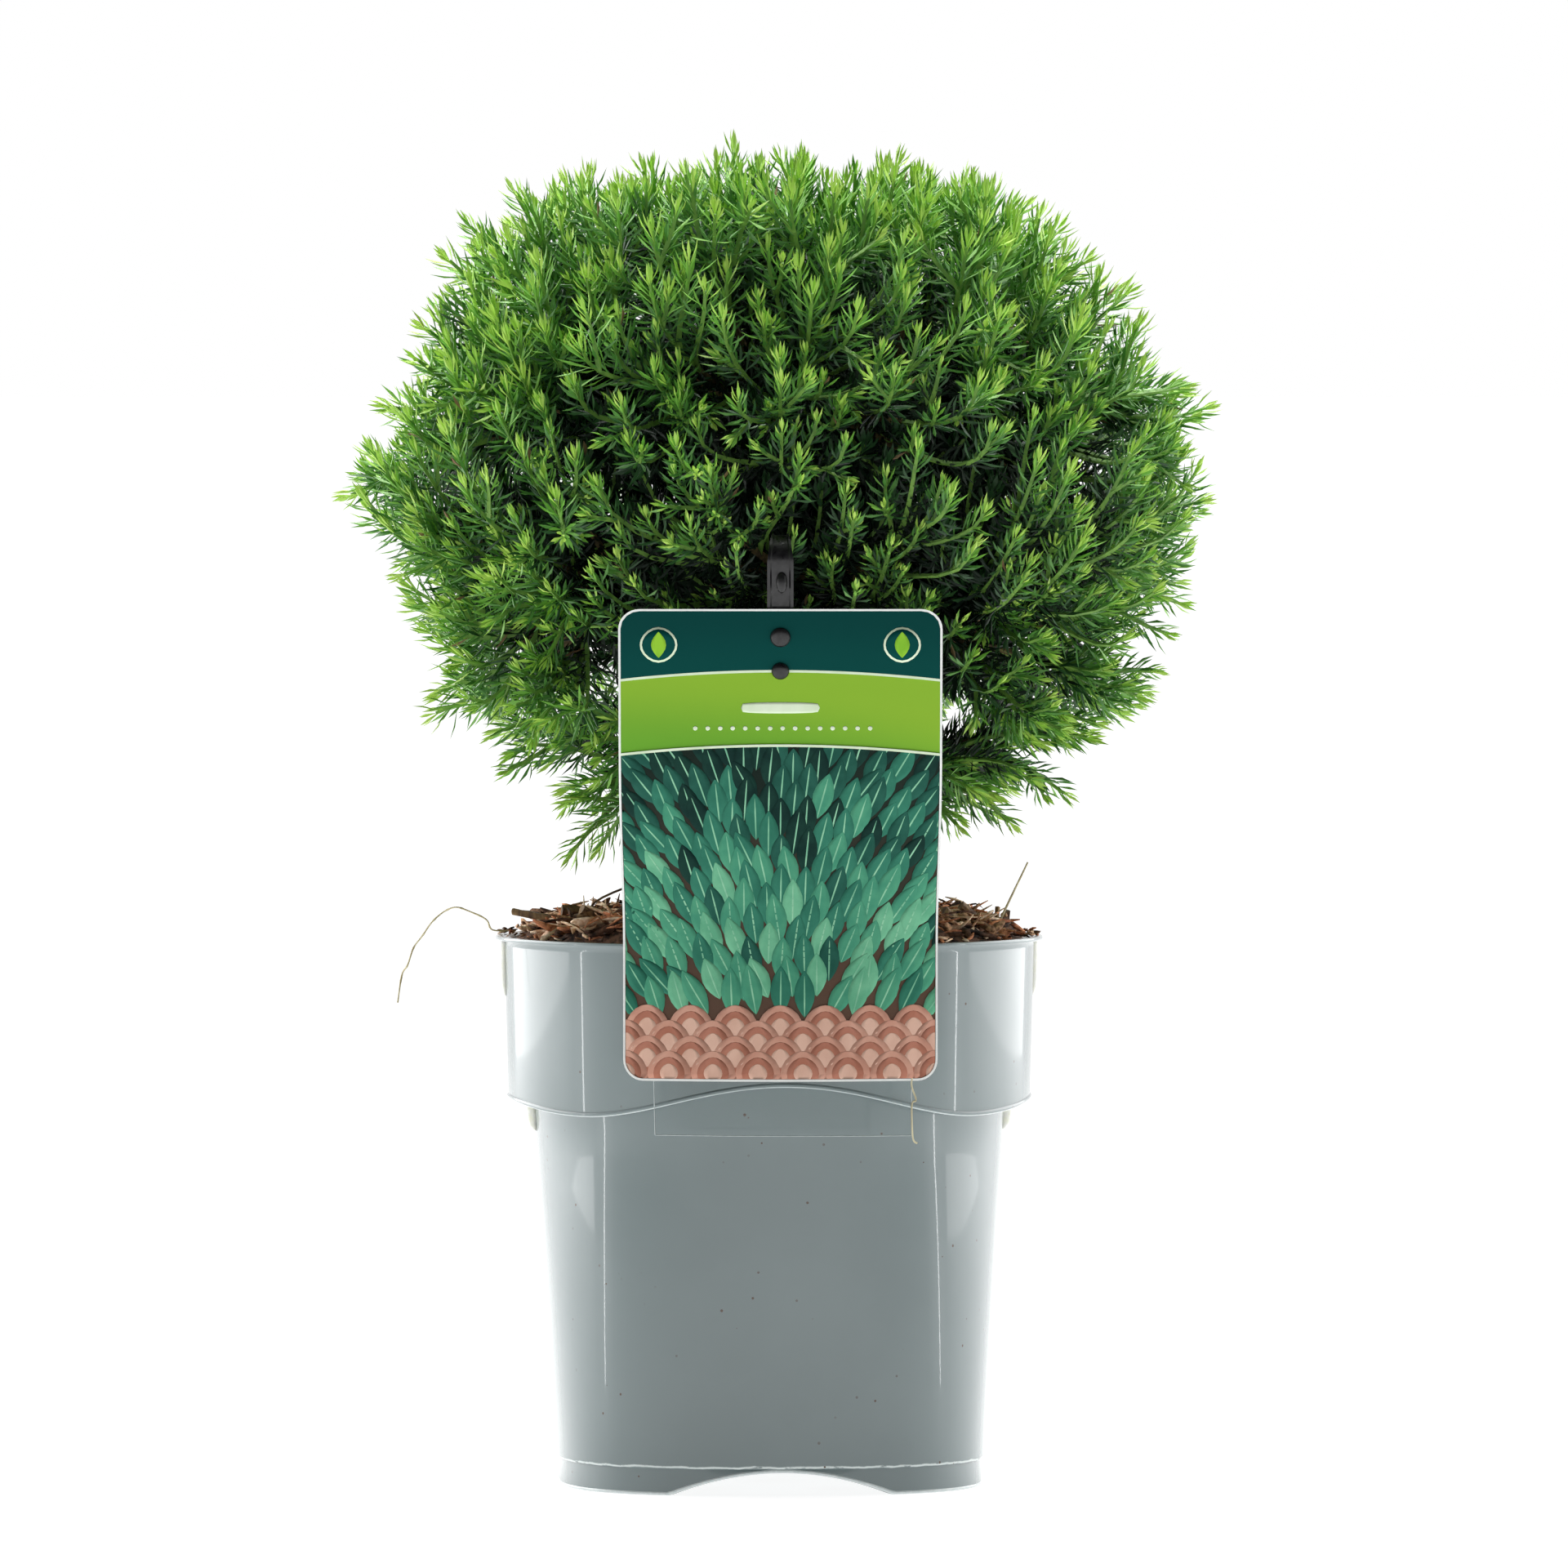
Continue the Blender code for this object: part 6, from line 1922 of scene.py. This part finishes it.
@dataclass(frozen=True)
class Film:
    """A clear sheet from behind the label over the pot's front, with a loose thread at its edge."""

    card: Label
    left: float = -0.0395
    right: float = 0.0407
    low: float = -0.0166
    high: float = 0.0080
    thick: float = 0.00016
    clear: float = 0.0006
    edge_radius: float = 0.00017
    thread_radius: float = 0.0003
    thread_lift: float = 0.0002
    thread: tuple = (
        (0.0412, 0.0030), (0.0408, -0.0015), (0.0422, -0.0058), (0.0409, -0.0072), (0.0410, -0.0150),
        (0.0414, -0.0182), (0.0426, -0.0192),
    )

    def look(self) -> bpy.types.Material:
        """Clear film with faint waves in it."""
        clear = Recipe("clear_film", 0.06)
        clear.set(Base_Color=(0.97, 0.98, 0.98, 1.0), Transmission_Weight=1.0, IOR=1.12)
        clear.set(Specular_IOR_Level=0.3)
        clear.bump(clear.noise(70.0, 2.0), 0.00004)
        return clear.material

    def build(self, bench: Bench) -> None:
        """Puts the film, its heavier edge and the thread."""
        low, high, left, right = self.low, self.high, self.left, self.right
        across, along = np.meshgrid(np.linspace(left, right, 25), np.linspace(low, high, 12))
        back = -(self.clear + self.card.thick / 2)
        sheet = slab(self.card.place(across, along, back), self.card.place(across, along, back - self.thick))
        bench.put("pot_film", sheet, self.look(), (), math.radians(30))
        corners = np.array([(left, high), (left + 0.0006, low), (right, low - 0.0002), (right, high)])
        across, along = np.moveaxis(between(corners[:-1], corners[1:], 16), -1, 0)
        route = self.card.place(across, along, back - self.thick / 2)
        edge = tubes(route, np.full(across.shape, self.edge_radius), 4)
        rim = PlasticFinish("film_edge", (178, 188, 188), (160, 170, 170), 0.2).material()
        bench.put("pot_film_edge", edge, rim)
        across, along = np.array(self.thread).T
        path = Litter.smoothed(self.card.place(across, along, self.thread_lift), 40)
        thread = WoodFinish("loose_thread", (214, 206, 172), (176, 166, 132), 500.0, 0.0001, 0.6).material()
        fibre = tubes(path[None], np.full((1, 40), self.thread_radius), 6)
        bench.put("film_thread", fibre, thread)


@dataclass(frozen=True)
class Studio:
    """A white floor without an end, soft light from above and both sides, and the photograph's view.

    Each light is given by its name, place, aim, size and power, with places from the foot of the pot's axis.
    """

    distance: float = 5.0
    eye_height: float = 0.365
    aim_height: float = 0.2169
    eye_x: float = 0.0046
    lens: float = 369.5
    sensor: float = 36.0
    far_clip: float = 200.0
    floor_size: float = 60.0
    floor_glow: float = 0.87
    floor_greys: tuple = ((0.34, 0.34, 0.34, 1), (0.36, 0.36, 0.36, 1))
    light_from: tuple = (-0.45, 0.5)
    light_strengths: tuple = (0.03, 1.15)
    lights: tuple = (
        ("top_box", (0.0, 0.35, 1.9), (0.0, 0.0, 0.2), (1.3, 1.3), 52.0),
        ("left_box", (-1.6, 1.0, 0.7), (0.0, 0.0, 0.2), (2.0, 1.5), 30.0),
        ("left_strip", (-0.5, -0.058, 0.25), (0.0, -0.058, 0.25), (0.006, 0.5), 0.16),
        ("right_box", (1.6, 1.0, 0.7), (0.0, 0.0, 0.2), (2.0, 1.5), 22.0),
        ("right_strip", (0.5, -0.058, 0.25), (0.0, -0.058, 0.25), (0.006, 0.5), 0.16),
    )

    def floor(self) -> None:
        """A wide square just under the pot."""
        half = self.floor_size
        mesh = bpy.data.meshes.new("studio_floor")
        corners = [(-half, -half, 0), (half, -half, 0), (half, half, 0), (-half, half, 0)]
        mesh.from_pydata(corners, [], [(0, 1, 2, 3)])
        recipe = Recipe("studio_white", 0.9)
        recipe.set(Base_Color=recipe.mix(recipe.noise(0.6, 2.0), *self.floor_greys), Specular_IOR_Level=0.0)
        recipe.set(Emission_Color=(1.0, 1.0, 1.0, 1.0), Emission_Strength=self.floor_glow)
        mesh.materials.append(recipe.material)
        made = bpy.data.objects.new("studio_floor", mesh)
        bpy.context.scene.collection.objects.link(made)

    def world(self) -> None:
        """White all round as it is seen, and as light a little weaker from the front than from behind."""
        made = bpy.data.worlds.new("studio_world")
        made.use_nodes = True
        tree = made.node_tree
        tree.nodes.clear()
        kinds = (
            "Background", "Background", "LightPath", "MixShader", "OutputWorld", "TexCoord", "SeparateXYZ",
            "MapRange",
        )
        nodes = [tree.nodes.new("ShaderNode" + kind) for kind in kinds]
        seen, light, ray, both, out, place, parts, fade = nodes
        span = (*self.light_from, *self.light_strengths)
        for socket, value in zip(("From Min", "From Max", "To Min", "To Max"), span):
            fade.inputs[socket].default_value = value
        for ground in (seen, light):
            ground.inputs["Color"].default_value = (1, 1, 1, 1)
            ground.inputs["Strength"].default_value = 1.0
        for begin, end in (
            (place.outputs["Generated"], parts.inputs[0]), (parts.outputs["Y"], fade.inputs["Value"]),
            (fade.outputs[0], light.inputs["Strength"]), (ray.outputs["Is Camera Ray"], both.inputs[0]),
            (light.outputs[0], both.inputs[1]), (seen.outputs[0], both.inputs[2]),
            (both.outputs[0], out.inputs[0]),
        ):
            tree.links.new(begin, end)
        bpy.context.scene.world = made

    def softbox(self, name: str, place: Array, aim: Array, size: tuple, power: float) -> None:
        """A rectangular area light that faces a point."""
        made = bpy.data.lights.new(name, "AREA")
        made.shape = "RECTANGLE"
        made.size, made.size_y = size
        made.energy = power
        lamp = bpy.data.objects.new(name, made)
        lamp.location = place
        lamp.rotation_euler = (Vector(aim) - lamp.location).to_track_quat("-Z", "Y").to_euler()
        bpy.context.scene.collection.objects.link(lamp)

    def camera(self, axis: Array) -> None:
        """The camera, level with the crown and a few paces back, under a long lens."""
        made = bpy.data.cameras.new("view")
        made.lens = self.lens
        made.sensor_width = self.sensor
        made.clip_end = self.far_clip
        eye = bpy.data.objects.new("view", made)
        eye.location = (axis[0] + self.eye_x, axis[1] - self.distance, self.eye_height)
        pitch = math.atan((self.eye_height - self.aim_height) / self.distance)
        eye.rotation_euler = (math.pi / 2 - pitch, 0, 0)
        bpy.context.scene.collection.objects.link(eye)
        bpy.context.scene.camera = eye

    def build(self, axis: Array) -> None:
        """Sets the stage, the lights and the camera."""
        self.floor()
        self.world()
        for name, place, aim, size, power in self.lights:
            self.softbox(name, axis + np.array(place), axis + np.array(aim), size, power)
        self.camera(axis)
        bpy.context.scene.view_settings.view_transform = "Standard"


def write_sizes() -> None:
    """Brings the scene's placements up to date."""
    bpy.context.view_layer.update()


def main() -> None:
    """Builds every sub-assembly in turn and reports each piece."""
    logging.basicConfig(level=logging.INFO, format="%(name)s: %(message)s")
    bench = Bench()
    rng = np.random.default_rng(SEED)
    pot = Pot()
    label = Label()
    trunk = Trunk()
    crown = Crown()
    masses = crown.masses(trunk)
    pot.build(bench)
    Mulch(pot).build(bench, rng)
    Litter(pot).build(bench, rng)
    trunk.build(bench, rng)
    trunk.build_limbs(bench, masses, rng)
    Foliage(crown, trunk, label).build(bench, masses, rng)
    LabelPrint(label).build(bench, rng)
    Tie(label).build(bench)
    Film(label).build(bench)
    Studio().build(bench.axis)
    write_sizes()
    log.info("whole object: %d triangles", bench.triangles)


if __name__ == "__main__":
    main()
